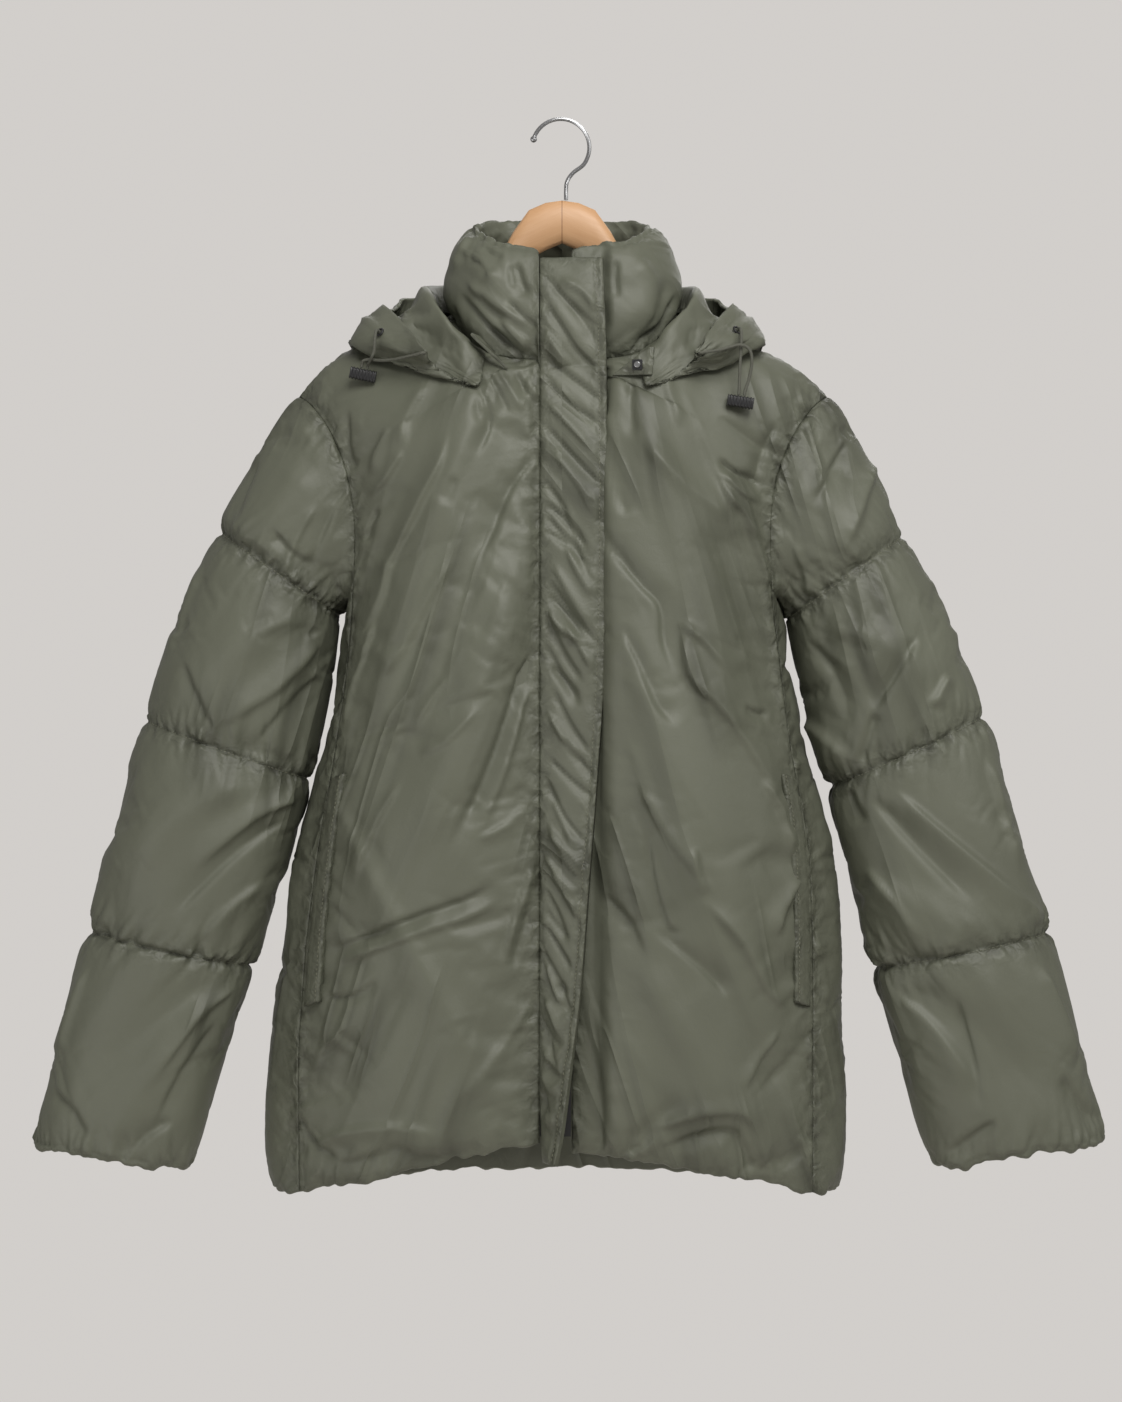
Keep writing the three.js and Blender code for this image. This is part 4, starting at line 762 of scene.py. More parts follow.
def make_nylon(name, slant, is_mirrored=True):
    """Olive nylon with fine creases that run down at a slant, mirrored about the middle if asked, with
    painted shade in its colour along the creases and seams.
    """
    cloth = Shader(name)
    spot = cloth.node("ShaderNodeSeparateXYZ", {}, {"Vector": cloth.place})
    x, y, z = (Socket(cloth, spot.link.node.outputs[k]) for k in range(3))
    side = cloth.node("ShaderNodeMath", {"operation": "SIGN"}, {0: x}) * 2.5
    if is_mirrored:
        x = cloth.node("ShaderNodeMath", {"operation": "ABSOLUTE"}, {0: x})
    across = x * math.cos(slant) + z * math.sin(slant)
    along = z * math.cos(slant) - x * math.sin(slant)

    def crests(narrow, long, seed, sharp):
        inputs = {0: across * narrow + seed, 1: along * long, 2: y * narrow * 0.5 + side}
        field = cloth.noise(1, 1, 0.4, cloth.node("ShaderNodeCombineXYZ", {}, inputs), 0.1)
        off = cloth.node("ShaderNodeMath", {"operation": "ABSOLUTE"}, {0: field - 0.5})
        crest = cloth.node("ShaderNodeMath", {"operation": "MAXIMUM"}, {0: 1 - off * sharp, 1: 0})
        return cloth.node("ShaderNodeMath", {"operation": "POWER"}, {0: crest, 1: 1.6})

    smooth_step = {"interpolation_type": "SMOOTHSTEP"}
    patch = cloth.node("ShaderNodeMapRange", smooth_step, {0: cloth.noise(7, 1), 1: 0.44, 2: 0.62})
    off_seam = cloth.node("ShaderNodeAttribute", {"attribute_name": "seam"}, {}, 2) / 7
    by_seam = 1 / (1 + off_seam * off_seam)
    folds = cloth.bump(crests(13, 1.5, 0, 9) * patch, 0.005, 0.6)
    lines = cloth.bump(crests(34, 2.6, 4.7, 11) * patch, 0.0022, 0.7, folds)
    puckered = cloth.bump(cloth.noise(95, 2, 0.5, None, 0.5) * by_seam, 0.006, 0.7, lines)
    crumpled = cloth.bump(cloth.noise(120, 3, 0.6, None, 0.9), 0.0004, 0.5, puckered)
    threads = {"Vector": cloth.node("ShaderNodeUVMap", {"uv_map": "cloth"}), "Scale": 700}
    warp = cloth.node("ShaderNodeTexWave", {"wave_type": "BANDS", "bands_direction": "X"}, threads)
    weft = cloth.node("ShaderNodeTexWave", {"wave_type": "BANDS", "bands_direction": "Y"}, threads)
    # Painted shade: the colour is darkened towards a dark olive along crest lines laid just beside the
    # bumped creases, and in a broken band along each seam. This stands in for the shade that falls in
    # creases and gathers.
    shade = crests(13, 1.5, 0.13, 9) * patch * 0.32 + crests(34, 2.6, 4.85, 11) * patch * 0.22
    shade = shade + by_seam * (1.1 - cloth.noise(95, 2, 0.5, None, 0.5) * 1.6)
    dye = cloth.blend(cloth.noise(7, 3), colour("#55574b"), colour("#606355"))
    cloth.surface.inputs["Specular IOR Level"].default_value = 0.42
    return cloth.finish(
        # The dye's own tone, darkened by the painted shade.
        Base_Color=cloth.blend(shade, dye, colour("#2f3027")),
        Roughness=cloth.noise(30, 2) * 0.08 + 0.46,
        Normal=cloth.bump(warp + weft, 0.00006, 0.3, crumpled),
    )


nylon = make_nylon("olive_nylon", 0.3)


def make_front(side):
    name = "right" if side < 0 else "left"
    cut_rows = cut(lambda row: front_point(side, 0.5, row), 0, SHOULDER_ROW, 520)
    cut_shares = cut(lambda share: front_point(side, share, 8.0), 0, 1, 100)
    points = front_point(side, cut_shares[None, :], cut_rows[:, None])
    panel = Panel(f"front_{name}", points, [(0, FREE_EDGE), (-1, 0)], np.array([0, -1, 0]))
    panel.lift = loft(panel, BODY_LOFT)
    fold = 2.4 * streaks(panel, 0.32 * side, 40, 300, 3 + side)
    fold += 0.5 * streaks(panel, 0.45 * side, 13, 110, 7 + side)
    panel.crease = (fold + crease_lift(points, FRONT_CREASES[name])) * panel.free
    seam_gathers = [
        (panel.across, panel.down, 6, 1.5, 8, 11 + side),
        (panel.across, panel.down, 15, 2.2, 22, 14 + side),
        (panel.from_last, panel.down, 7, 1.6, 9, 17 + side),
        (panel.from_last, panel.down, 18, 2.4, 26, 20 + side),
        (panel.down[-1:] - panel.down, panel.across, 10, 1.5, 12, 23 + side),
        (panel.down + 4, panel.across, 16, 2.2, 20, 26 + side),
    ]
    pucker(panel, seam_gathers)
    scallop(panel, 0, HEM_SWELL, 29 + side)
    if side > 0:
        # Under the flap the front is flat.
        past_flap = ease((points[..., 0] - FLAP_RIGHT + 2) / 12)
        bare = np.where(cut_rows[:, None] > NECK_ROW + 1, 1, past_flap)
        panel.lift = mix(EDGE_HALF, panel.lift, bare)
        panel.crease *= bare
    panel.pin[0] = HEM_PIN
    return panel


for side in (-1, 1):
    front = make_front(side)
    close_panel(front, settle(front, BODY_PRESSURE, BODY_SLACK), 0)

# ---- Side panels ----
# A narrow padded panel of the same nylon joins each front to the back, from the hem to under the arm.
# Its two long seams gather it, so it is rounder and more puckered than the fronts.
SIDE_INSET = 8.0  # the middle of its wall lies this far inside the jacket's widest line


def make_side(side):
    rows = np.linspace(0, UNDERARM_ROW, 321)
    _, _, _, seam_r, seam_l, seam_y, seam_z, edge_r, edge_l, _, _, side_y, _ = body_curve(rows)
    seam_x, edge_x = (seam_r, edge_r) if side < 0 else (seam_l, edge_l)

    def point(row, share):
        columns = (seam_x, edge_x, seam_y, seam_z, side_y)
        seam, edge, y0, z, y1 = (np.interp(row, rows, column) for column in columns)
        widest = np.maximum(edge - SIDE_INSET, seam)
        x = mix(seam, widest, np.maximum(np.sin(math.pi * share), 0) ** 0.8)
        return np.stack(np.broadcast_arrays(side * x, mix(y0, y1, share), z), -1)

    cut_rows = cut(lambda row: point(row, 0.5), 0, UNDERARM_ROW, 320)
    cut_shares = cut(lambda share: point(3.0, share), 0, 1, 100)
    points = point(cut_rows[:, None], cut_shares[None, :])
    name = "side_right" if side < 0 else "side_left"
    panel = Panel(name, points, [(0, FREE_EDGE), (-1, 0)], np.array([side, 0, 0]))
    panel.lift = loft(panel, BODY_LOFT)
    fold = 2.2 * streaks(panel, 0.1, 26, 120, 33 + side)
    fold += 0.8 * streaks(panel, -0.2, 11, 60, 36 + side)
    panel.crease = fold * panel.free
    for off, seed in ((panel.across, 39 + side), (panel.from_last, 45 + side)):
        pucker(panel, [(off, panel.down, 8, 1.7, 9, seed), (off, panel.down, 19, 2.4, 24, seed + 3)])
    scallop(panel, 0, HEM_SWELL, 51 + side)
    panel.pin[0] = HEM_PIN
    return panel


for side in (-1, 1):
    side_panel = make_side(side)
    close_panel(side_panel, settle(side_panel, BODY_PRESSURE, BODY_SLACK), 0)

# ---- Back ----
# One wide padded panel up to the neck and shoulder seams. It is plain, and hangs in broad soft folds
# that swing from each shoulder blade towards the middle.
BACK_COLUMNS = 28.0
HALF_NECK = 4.0  # columns from the middle to the end of each shoulder seam
BACK_CREASES = [
    (22, 5, 0.3, (-160, -290, -120, -380, -70, -480)),
    (10, -4, 0.8, (-112, -286, -78, -350, -40, -430)),
    (9, 4, -0.7, (-66, -296, -44, -360, -20, -440)),
    (24, 5, -0.3, (150, -300, 110, -400, 58, -510)),
    (10, -4, -0.8, (104, -296, 78, -360, 44, -450)),
    (8, 4, 0.8, (168, -330, 150, -380, 120, -430)),
    (11, -4, 0.8, (-172, -416, -124, -470, -66, -570)),
    (12, 4, -0.8, (178, -400, 140, -470, 80, -575)),
    (20, 4, 0.3, (-34, -430, 0, -500, 24, -580)),
    (12, 4.5, 0.8, (-196, -560, -140, -600, -86, -660)),
    (9, -3.4, -0.7, (-196, -590, -156, -630, -120, -690)),
    (16, -4.4, 0.6, (-64, -580, -10, -600, 34, -670)),
    (12, -4.4, 0.8, (36, -606, 100, -590, 186, -556)),
    (10, 3.6, -0.8, (60, -656, 120, -636, 194, -628)),
    (12, -4.6, 0.8, (-190, -690, -120, -700, -56, -740)),
    (18, 4.4, 0.4, (-44, -700, 20, -710, 94, -750)),
    (10, -3.6, 0.8, (100, -696, 150, -712, 196, -744)),
    (9, 3.6, 0.7, (-200, -786, -150, -796, -90, -826)),
    (12, -4, 0.8, (-74, -786, 0, -792, 66, -820)),
    (12, 4, -0.7, (70, -800, 120, -806, 186, -836)),
    (9, -3.8, 0.7, (-156, -850, -100, -848, -40, -864)),
    (9, -3.4, 0.7, (20, -856, 80, -848, 134, -852)),
    (6, -3, 0.8, (-30, -190, -26, -220, -34, -262)),
    (6, 3, 0.7, (24, -190, 34, -226, 30, -270)),
    (7, 3, 0.8, (-190, -470, -170, -500, -150, -540)),
    (7, -3, 0.8, (198, -470, 176, -500, 160, -548)),
]


def back_top(column):
    column = np.asarray(column, float)
    cx, cy, cz, _, _, _, _, _, _, _, back_y, _, back_z = body_curve(float(SHOULDER_ROW))
    off = np.abs(column - BACK_COLUMNS / 2)
    side = np.sign(column - BACK_COLUMNS / 2)
    share = np.clip((off - HALF_NECK) / 10, 0, 1)
    right = front_point(-1, share, float(SHOULDER_ROW))
    left = front_point(1, share, float(SHOULDER_ROW))
    shoulder = np.where(side[..., None] < 0, right, left)
    angle = np.clip(off / HALF_NECK, 0, 1) * math.pi / 2
    high = mix(cz, back_z, np.cos(angle))
    neck = np.stack([side * cx * np.sin(angle), mix(cy, back_y, np.cos(angle)), high], -1)
    return np.where((off >= HALF_NECK)[..., None], shoulder, neck)


def back_point(row, column):
    row, column = np.broadcast_arrays(np.asarray(row, float), np.asarray(column, float))
    _, _, _, seam_r, seam_l, _, seam_z, _, _, _, back_y, side_y, back_z = body_curve(row)
    top = back_top(column)
    is_right = (column < BACK_COLUMNS / 2)[..., None]
    corner = np.where(is_right, back_top(0.0), back_top(BACK_COLUMNS))
    narrowing = ease((row - UNDERARM_ROW) / (SHOULDER_ROW - UNDERARM_ROW))
    ratio = mix(2 * column / BACK_COLUMNS - 1, top[..., 0] / np.abs(corner[..., 0]), narrowing)
    shoulder = np.clip((row - NECK_ROW) / (SHOULDER_ROW - NECK_ROW), 0, 1)
    closing = 1 - np.sqrt(1 - shoulder**2)
    arch = 1 - np.abs(ratio) ** 2.5
    dip = (back_z - seam_z) * (1 - ratio * ratio)
    x = ratio * np.where(is_right[..., 0], seam_r, seam_l)
    y = side_y + mix((back_y - side_y) * arch, top[..., 1] - corner[..., 1], closing)
    z = seam_z + mix(dip, top[..., 2] - corner[..., 2], narrowing)
    return np.stack([x, y, z], -1)


def make_back():
    cut_rows = cut(lambda row: back_point(row, 8.0), 0, SHOULDER_ROW, 520)
    cut_columns = cut(lambda column: back_point(8.0, column), 0, BACK_COLUMNS, 280, SPACING * 1.15)
    points = back_point(cut_rows[:, None], cut_columns[None, :])
    panel = Panel("back", points, [(0, FREE_EDGE), (-1, 0)], np.array([0, 1, 0]))
    panel.lift = loft(panel, BODY_LOFT)
    fold = streaks(panel, 0.5, 36, 240, 61) + streaks(panel, -0.5, 36, 240, 64)
    fold = 1.7 * fold + 0.7 * streaks(panel, 0.2, 12, 90, 67)
    panel.crease = (fold + crease_lift(points, BACK_CREASES)) * panel.free
    seam_gathers = [
        (panel.across, panel.down, 8, 1.6, 9, 70),
        (panel.across, panel.down, 20, 2.2, 24, 73),
        (panel.from_last, panel.down, 8, 1.6, 9, 76),
        (panel.from_last, panel.down, 20, 2.2, 24, 79),
        (panel.down[-1:] - panel.down, panel.across, 10, 1.5, 12, 82),
        (panel.down + 4, panel.across, 16, 2.2, 20, 85),
    ]
    pucker(panel, seam_gathers)
    scallop(panel, 0, HEM_SWELL, 88)
    panel.pin[0] = HEM_PIN
    return panel


back = make_back()
close_panel(back, settle(back, BODY_PRESSURE, BODY_SLACK), 0)

# ---- Sleeves ----
# Padded nylon tubes, quilted round by three lines of stitching that gather the cloth into short
# puckers. Each bends slightly at the elbow, so long creases run slantwise out from the inner side.
SLEEVE_LOFT = 7.0
ARMHOLE_STEPS = 24
SLEEVES = {
    # ring, out x z, in x z, middle y, half depth
    "sleeve_right": [
        (0, -222, -236, -174, -400, 0, 48),
        (1, -287, -352, -191, -419, 2, 50),
        (2, -350, -511, -219, -558, 3, 51),
        (3, -397, -689, -268, -716, 2, 48),
        (4, -443, -868, -320, -884, -2, 42),
    ],
    "sleeve_left": [
        (0, 224, -236, 175, -400, 0, 48),
        (1, 286, -355, 193, -422, 2, 50),
        (2, 354, -508, 232, -564, 3, 51),
        (3, 409, -690, 270, -718, 2, 49),
        (4, 453, -861, 318, -884, -2, 43),
    ],
}
SLEEVE_CREASES = {
    "sleeve_right": [
        (24, 5, 0.3, (-204, -300, -240, -340, -262, -380)),
        (9, -4, 0.8, (-190, -330, -206, -366, -214, -402)),
        (7, 3.4, 0.8, (-204, -330, -222, -360, -236, -396)),
        (7, -3, 0.7, (-250, -292, -262, -320, -270, -346)),
        (8, -4, 0.8, (-240, -350, -226, -368, -206, -380)),
        (26, 5, 0.3, (-220, -420, -270, -450, -330, -500)),
        (8, -4, 0.9, (-310, -462, -302, -490, -290, -520)),
        (10, 4.5, 0.8, (-208, -440, -240, -480, -290, -516)),
        (8, -4, -0.8, (-210, -470, -236, -500, -262, -536)),
        (7, 3.6, 0.8, (-296, -380, -312, -420, -326, -462)),
        (12, -5, 0.8, (-228, -560, -252, -540, -286, -532)),
        (9, 4.5, 0.8, (-226, -572, -262, -590, -312, -636)),
        (8, -4, 0.9, (-236, -590, -276, -620, -330, -676)),
        (24, 5, 0.3, (-262, -560, -320, -590, -384, -660)),
        (9, -4, 0.8, (-352, -548, -372, -590, -384, -630)),
        (7, 3.4, -0.8, (-256, -640, -286, -668, -306, -694)),
        (24, -4.5, 0.3, (-290, -730, -340, -760, -410, -830)),
        (9, 4.5, 0.9, (-282, -732, -312, -760, -352, -820)),
        (8, -4, -0.8, (-296, -760, -320, -800, -344, -850)),
        (8, 4, 0.8, (-392, -716, -408, -760, -426, -816)),
        (9, -4.5, 0.8, (-330, -842, -350, -856, -372, -876)),
        (9, -4, 0.8, (-424, -820, -406, -838, -396, -862)),
    ],
    "sleeve_left": [
        (8, -4, -0.8, (237, -275, 222, -304, 209, -331)),
        (10, 4.5, 0.8, (260, -293, 246, -334, 232, -373)),
        (8, -4, 0.8, (274, -322, 284, -338, 293, -354)),
        (24, 4.5, 0.3, (206, -300, 230, -340, 262, -380)),
        (8, 4, -0.8, (192, -360, 204, -384, 210, -410)),
        (10, -5, 0.9, (293, -439, 278, -470, 260, -503)),
        (8, 4.5, -0.8, (317, -472, 311, -486, 306, -500)),
        (11, 5, 0.9, (204, -500, 228, -520, 250, -546)),
        (8, -4.5, -0.8, (262, -500, 258, -524, 252, -548)),
        (24, 5, 0.3, (226, -420, 270, -450, 326, -480)),
        (8, -4, -0.7, (212, -440, 232, -470, 246, -512)),
        (7, 3.4, 0.8, (300, -384, 318, -420, 330, -462)),
        (10, 5, 0.9, (279, -566, 318, -604, 364, -646, 412, -686)),
        (9, -4.5, -0.8, (262, -572, 300, -616, 346, -664)),
        (10, -5, 0.9, (368, -537, 384, -580, 400, -630, 414, -678)),
        (8, 4, -0.8, (350, -540, 366, -590, 380, -640)),
        (7, -4, 0.8, (246, -566, 252, -580, 260, -596)),
        (24, 4.5, 0.3, (262, -640, 310, -670, 350, -700)),
        (8, 4, 0.8, (262, -630, 286, -660, 304, -694)),
        (24, -4.5, 0.3, (290, -730, 344, -764, 410, -836)),
        (9, 4.5, 0.9, (286, -736, 318, -768, 356, -826)),
        (9, -5, 0.9, (415, -806, 430, -830, 450, -852)),
        (9, -4.5, -0.8, (364, -842, 346, -856, 326, -874)),
        (8, 4, 0.8, (396, -714, 414, -756, 430, -800)),
        (8, -4, 0.8, (330, -740, 344, -790, 352, -836)),
    ],
}
# The back of both sleeves: ring and turn where a crease starts and ends, then its width and height.
REAR_CREASES = [
    (0.3, 0.86, 0.95, 0.78, 12, 4.4),
    (0.25, 0.76, 0.9, 0.68, 10, -4),
    (0.4, 0.94, 0.96, 0.9, 8, -3),
    (1.05, 0.84, 1.9, 0.72, 12, 4.6),
    (1.1, 0.74, 1.8, 0.64, 10, -4),
    (1.2, 0.93, 1.95, 0.85, 8, 3.4),
    (2.05, 0.85, 2.9, 0.76, 12, -4.4),
    (2.1, 0.75, 2.95, 0.62, 11, 4.4),
    (2.3, 0.95, 2.9, 0.86, 8, 3.4),
    (3.05, 0.86, 3.9, 0.75, 12, 4.4),
    (3.1, 0.76, 3.8, 0.66, 10, -4.4),
    (3.2, 0.94, 3.9, 0.84, 8, -3.4),
]
BAFFLE_LENGTH = 165.0
SEAM_STRENGTHS = (0.5, 1, 1, 1, 0.8)  # armhole, three quilting lines, cuff


def armhole(side):
    """The armhole as 24 stations: down the front, under the arm and up the back."""
    front = front_point(side, 1.0, np.arange(SHOULDER_ROW, UNDERARM_ROW, -1))
    row = body_curve(float(UNDERARM_ROW))
    seam, edge = (row[3], row[7]) if side < 0 else (row[4], row[8])
    shares = np.arange(4) / 4
    wide = mix(seam, max(edge - SIDE_INSET, seam), np.sin(math.pi * shares) ** 0.8)
    under = np.stack([side * wide, mix(row[5], row[11], shares), np.full(4, row[6])], -1)
    back_edge = 0.0 if side < 0 else BACK_COLUMNS
    return np.concatenate([front, under, back_point(np.arange(UNDERARM_ROW, SHOULDER_ROW), back_edge)])


def loop_at(stations, where):
    """Points on a closed loop of stations, at fractional stations."""
    where = np.asarray(where, float) % len(stations)
    low = np.floor(where).astype(int)
    t = (where - low)[..., None]
    return smooth_span(*(stations[(low + k) % len(stations)] for k in (-1, 0, 1, 2)), t)


def make_sleeve(name, side, seed):
    ring_curve = Curve(SLEEVES[name])
    stations = armhole(side)

    def ellipse(ring, column):
        out_x, out_z, in_x, in_z, mid_y, half = ring_curve(ring)
        angle = 2 * math.pi * column / ARMHOLE_STEPS
        reach = (1 + np.cos(angle)) / 2
        y = mid_y - half * np.sin(angle)
        return np.stack([mix(in_x, out_x, reach), y, mix(in_z, out_z, reach)], -1)

    def point(ring, column):
        ring, column = np.broadcast_arrays(np.asarray(ring, float), np.asarray(column, float))
        offset = loop_at(stations, column) - ellipse(np.zeros(column.shape), column)
        return ellipse(ring, column) + offset * ((1 - np.clip(ring, 0, 1)) ** 2)[..., None]

    rings, seams = [], [0]
    for baffle in range(4):
        steps = cut(lambda ring: point(ring, 2.0), baffle, baffle + 1, 100, SPACING * 0.95)
        rings.extend(steps[1 if baffle else 0 :])
        seams.append(len(rings) - 1)
    columns = cut(lambda column: point(2.0, column), 0, ARMHOLE_STEPS, 480, SPACING * 0.85)[:-1]
    points = point(np.array(rings)[:, None], columns[None, :])
    outward = points - points.mean(1, keepdims=True)
    held_rows = [(row, 0) for row in seams[:-1]] + [(seams[-1], FREE_EDGE)]
    panel = Panel(name, points, held_rows, outward, True)
    ring_at, around = np.array(rings)[:, None], columns[None, :] / ARMHOLE_STEPS
    # Under the arm the sleeve lies against the body, so it stays flat there.
    flat = np.clip(1.5 - ring_at, 0, 1) * ((1 - np.cos(2 * math.pi * around)) / 2) ** 2
    panel.lift = mix(loft(panel, SLEEVE_LOFT, 9), EDGE_HALF, flat)
    girth = panel.across[:, -1:] * len(columns) / (len(columns) - 1)
    angle = 2 * math.pi * around
    is_front = ease((points[..., 1].mean(1, keepdims=True) + 16 - points[..., 1]) / 24)
    fold = 0.8 * streaks(panel, 0.6 * side, 34, 200, seed)
    fold += 0.25 * streaks(panel, 0.5 * side, 11, 70, seed + 3)
    fold += crease_lift(points, SLEEVE_CREASES[name]) * is_front
    for ring_a, turn_a, ring_b, turn_b, width, height in REAR_CREASES:
        round_by = (turn_b - turn_a - 0.04 * side) * girth.mean()
        run = np.array([round_by, (ring_b - ring_a) * BAFFLE_LENGTH])
        x, z = (around - turn_a - 0.02 * side) * girth, (ring_at - ring_a) * BAFFLE_LENGTH
        along = (x * run[0] + z * run[1]) / (run @ run)
        off = (z * run[0] - x * run[1]) / np.hypot(*run) - 32 * along * (1 - along)
        steep = np.where(off * height > 0, 0.5, 1.3)
        faded = ease(along * 5 + 0.1) * ease((1 - along) * 4)
        fold += height * faded * np.exp(-((off / width / steep) ** 2))
    panel.crease = fold * panel.free * (1 - flat)
    for number, row in enumerate(seams):
        off = np.abs(panel.down - panel.down[row])
        lean = (panel.down - panel.down[row]) * 0.004 * (1 if number % 2 else -1)
        place = np.stack([np.cos(angle + lean), np.sin(angle + lean)], -1)
        place = np.broadcast_to(place * girth[..., None] / 2 / math.pi, (*off.shape, 2))
        # The baffle above each seam sags over it, so its puckers are the deeper ones.
        strength = np.where(np.arange(len(rings))[:, None] < row, 1.5, 0.8) * SEAM_STRENGTHS[number]
        strength = strength * (1 - flat if number == 0 else 1)
        sizes = ((4.6, 2.4, 8, 6), (9, 3.4, 15, 13), (22, 2.0, 32, 18))
        pucker(panel, [(off, place, *size, seed + more + number) for *size, more in sizes], strength)
    scallop(panel, -1, 4.2, seed + 30)
    panel.seams = seams
    panel.pin[-1] = HEM_PIN
    return panel


def stitch_tree():
    """A node tree that lays one thread after another along a line of edges."""
    tree = bpy.data.node_groups.new("stitches", "GeometryNodeTree")
    tree.is_modifier = True
    face = tree.interface
    face.new_socket(name="Line", in_out="INPUT", socket_type="NodeSocketGeometry")
    for name in ("Spacing", "Length", "Thickness"):
        face.new_socket(name=name, in_out="INPUT", socket_type="NodeSocketFloat")
    face.new_socket(name="Seed", in_out="INPUT", socket_type="NodeSocketInt")
    face.new_socket(name="Thread", in_out="INPUT", socket_type="NodeSocketMaterial")
    face.new_socket(name="Stitches", in_out="OUTPUT", socket_type="NodeSocketGeometry")

    def add(kind, settings=None, **inputs):
        made = tree.nodes.new(kind)
        for key, value in (settings or {}).items():
            setattr(made, key, value)
        for key, value in inputs.items():
            socket = made.inputs[key.replace("_", " ")]
            if isinstance(value, bpy.types.NodeSocket):
                tree.links.new(value, socket)
            else:
                socket.default_value = value
        return made

    given = tree.nodes.new("NodeGroupInput").outputs
    curve = add("GeometryNodeMeshToCurve", Mesh=given["Line"]).outputs[0]
    by_length = {"mode": "LENGTH"}
    points = add("GeometryNodeCurveToPoints", by_length, Curve=curve, Length=given["Spacing"]).outputs
    lying = add("FunctionNodeAlignRotationToVector", {"axis": "X"}, Vector=points["Tangent"]).outputs[0]
    length, thickness = given["Length"], given["Thickness"]
    size = add("ShaderNodeCombineXYZ", X=length, Y=thickness, Z=thickness).outputs[0]
    uneven = add("FunctionNodeRandomValue", {"data_type": "FLOAT"}, Seed=given["Seed"])
    uneven.inputs[2].default_value, uneven.inputs[3].default_value = 0.85, 1.1
    by_scale = {"operation": "SCALE"}
    scale = add("ShaderNodeVectorMath", by_scale, Vector=size, Scale=uneven.outputs[1]).outputs[0]
    thread = add("GeometryNodeMeshUVSphere", Segments=6, Rings=4, Radius=0.5).outputs[0]
    spots = {"Points": points["Points"], "Instance": thread, "Rotation": lying, "Scale": scale}
    laid = add("GeometryNodeInstanceOnPoints", **spots)
    real = add("GeometryNodeRealizeInstances", Geometry=laid.outputs[0]).outputs[0]
    coloured = add("GeometryNodeSetMaterial", Geometry=real, Material=given["Thread"]).outputs[0]
    tree.links.new(coloured, tree.nodes.new("NodeGroupOutput").inputs[0])
    return tree


STITCHES = stitch_tree()
STITCH_PROUD = 0.25  # the thread's middle stands this far off the cloth
STITCH = {"Spacing": 0.0036, "Length": 0.0028, "Thickness": 0.0007}
spun = Shader("olive_thread")
olive_thread = spun.finish(
    Base_Color=spun.blend(spun.noise(400, 2), colour("#5c5d4e"), colour("#6f7060")), Roughness=0.6
)


def add_stitches(name, line, is_closed=False, seed=1):
    """A row of lock stitches along a line of points in millimetres."""
    total = len(line)
    mesh = bpy.data.meshes.new(name)
    edges = [(k, (k + 1) % total) for k in range(total if is_closed else total - 1)]
    mesh.from_pydata((np.asarray(line) * MM).tolist(), edges, [])
    piece = add_object(name, mesh)
    modifier = piece.modifiers.new("stitches", "NODES")
    modifier.node_group = STITCHES
    values = {**STITCH, "Seed": seed, "Thread": olive_thread}
    for socket in STITCHES.interface.items_tree:
        if socket.name in values:
            modifier[socket.identifier] = values[socket.name]
    sewn = bpy.data.meshes.new_from_object(piece.evaluated_get(bpy.context.evaluated_depsgraph_get()))
    piece.modifiers.clear()
    piece.data = sewn
    sewn.polygons.foreach_set("use_smooth", [True] * len(sewn.polygons))
    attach(piece, "root")


for name, side, seed in (("sleeve_right", -1, 101), ("sleeve_left", 1, 131)):
    sleeve = make_sleeve(name, side, seed)
    outer = settle(sleeve, 1.1, BODY_SLACK)
    close_panel(sleeve, outer, -1)
    for number, row in enumerate(sleeve.seams[1:4]):
        line = outer[row] + sleeve.normals[row] * STITCH_PROUD
        add_stitches(f"{name}_stitches_{number + 1}", line, True, seed + number)

# ---- Collar ----
# A thick stand collar sewn to the neckline, in one padded piece of nylon that turns over at the top.
# The cloth hangs from its soft roll in long folds that slant down to the middle of the front.
COLLAR_FRONT_TOP = -126
COLLAR_BACK_TOP = -84
COLLAR_LOFT = 8.5
COLLAR_SHAPE = Curve([(0, 1, 0, 0), (0.35, 0.97, 0, 6), (0.7, 0.89, 2, 5), (1, 0.82, 5, -1)])
COLLAR_CREASES = [
    (7, -4, 0.9, (-85, -152, -66, -176, -45, -197, -21, -213)),
    (6, 3.4, -0.8, (-80, -142, -62, -162, -42, -176, -20, -192)),
    (6, -3.4, 0.9, (-72, -150, -58, -165, -40, -177, -22, -190)),
    (5, -3, 0.8, (-45, -160, -31, -175, -18, -186)),
    (5, -2.6, 0.8, (-60, -182, -50, -190, -40, -202)),
    (5, 2.6, -0.7, (-52, -174, -40, -188, -26, -202)),
    (5, -3.4, 0.8, (-38, -128, -33, -144, -28, -158)),
    (4, -2.6, -0.8, (-44, -130, -43, -142, -40, -152)),
    (5, 3, 0.8, (-84, -114, -70, -124, -60, -138, -52, -134)),
    (4, -3.4, 0.9, (-78, -118, -66, -130, -60, -142)),
    (4, -2.6, 0.8, (-66, -112, -58, -120, -49, -124)),
    (7, 3.4, 0.7, (-76, -102, -82, -114, -91, -136)),
    (7, -3.4, 0.9, (-92, -160, -82, -186, -64, -210, -44, -224)),
    (14, 3.4, 0.3, (60, -124, 76, -150, 70, -190)),
    (12, -2.4, 0.3, (88, -140, 78, -170, 54, -206)),
    (6, -4, -0.9, (96, -150, 84, -176, 66, -194, 44, -218)),
    (5, 3.4, 0.8, (99, -156, 90, -176, 74, -194, 54, -214)),
    (5, -3.4, -0.8, (100, -166, 92, -184, 78, -200, 62, -216)),
    (5, -2.6, 0.6, (46, -126, 44, -142, 46, -160)),
]


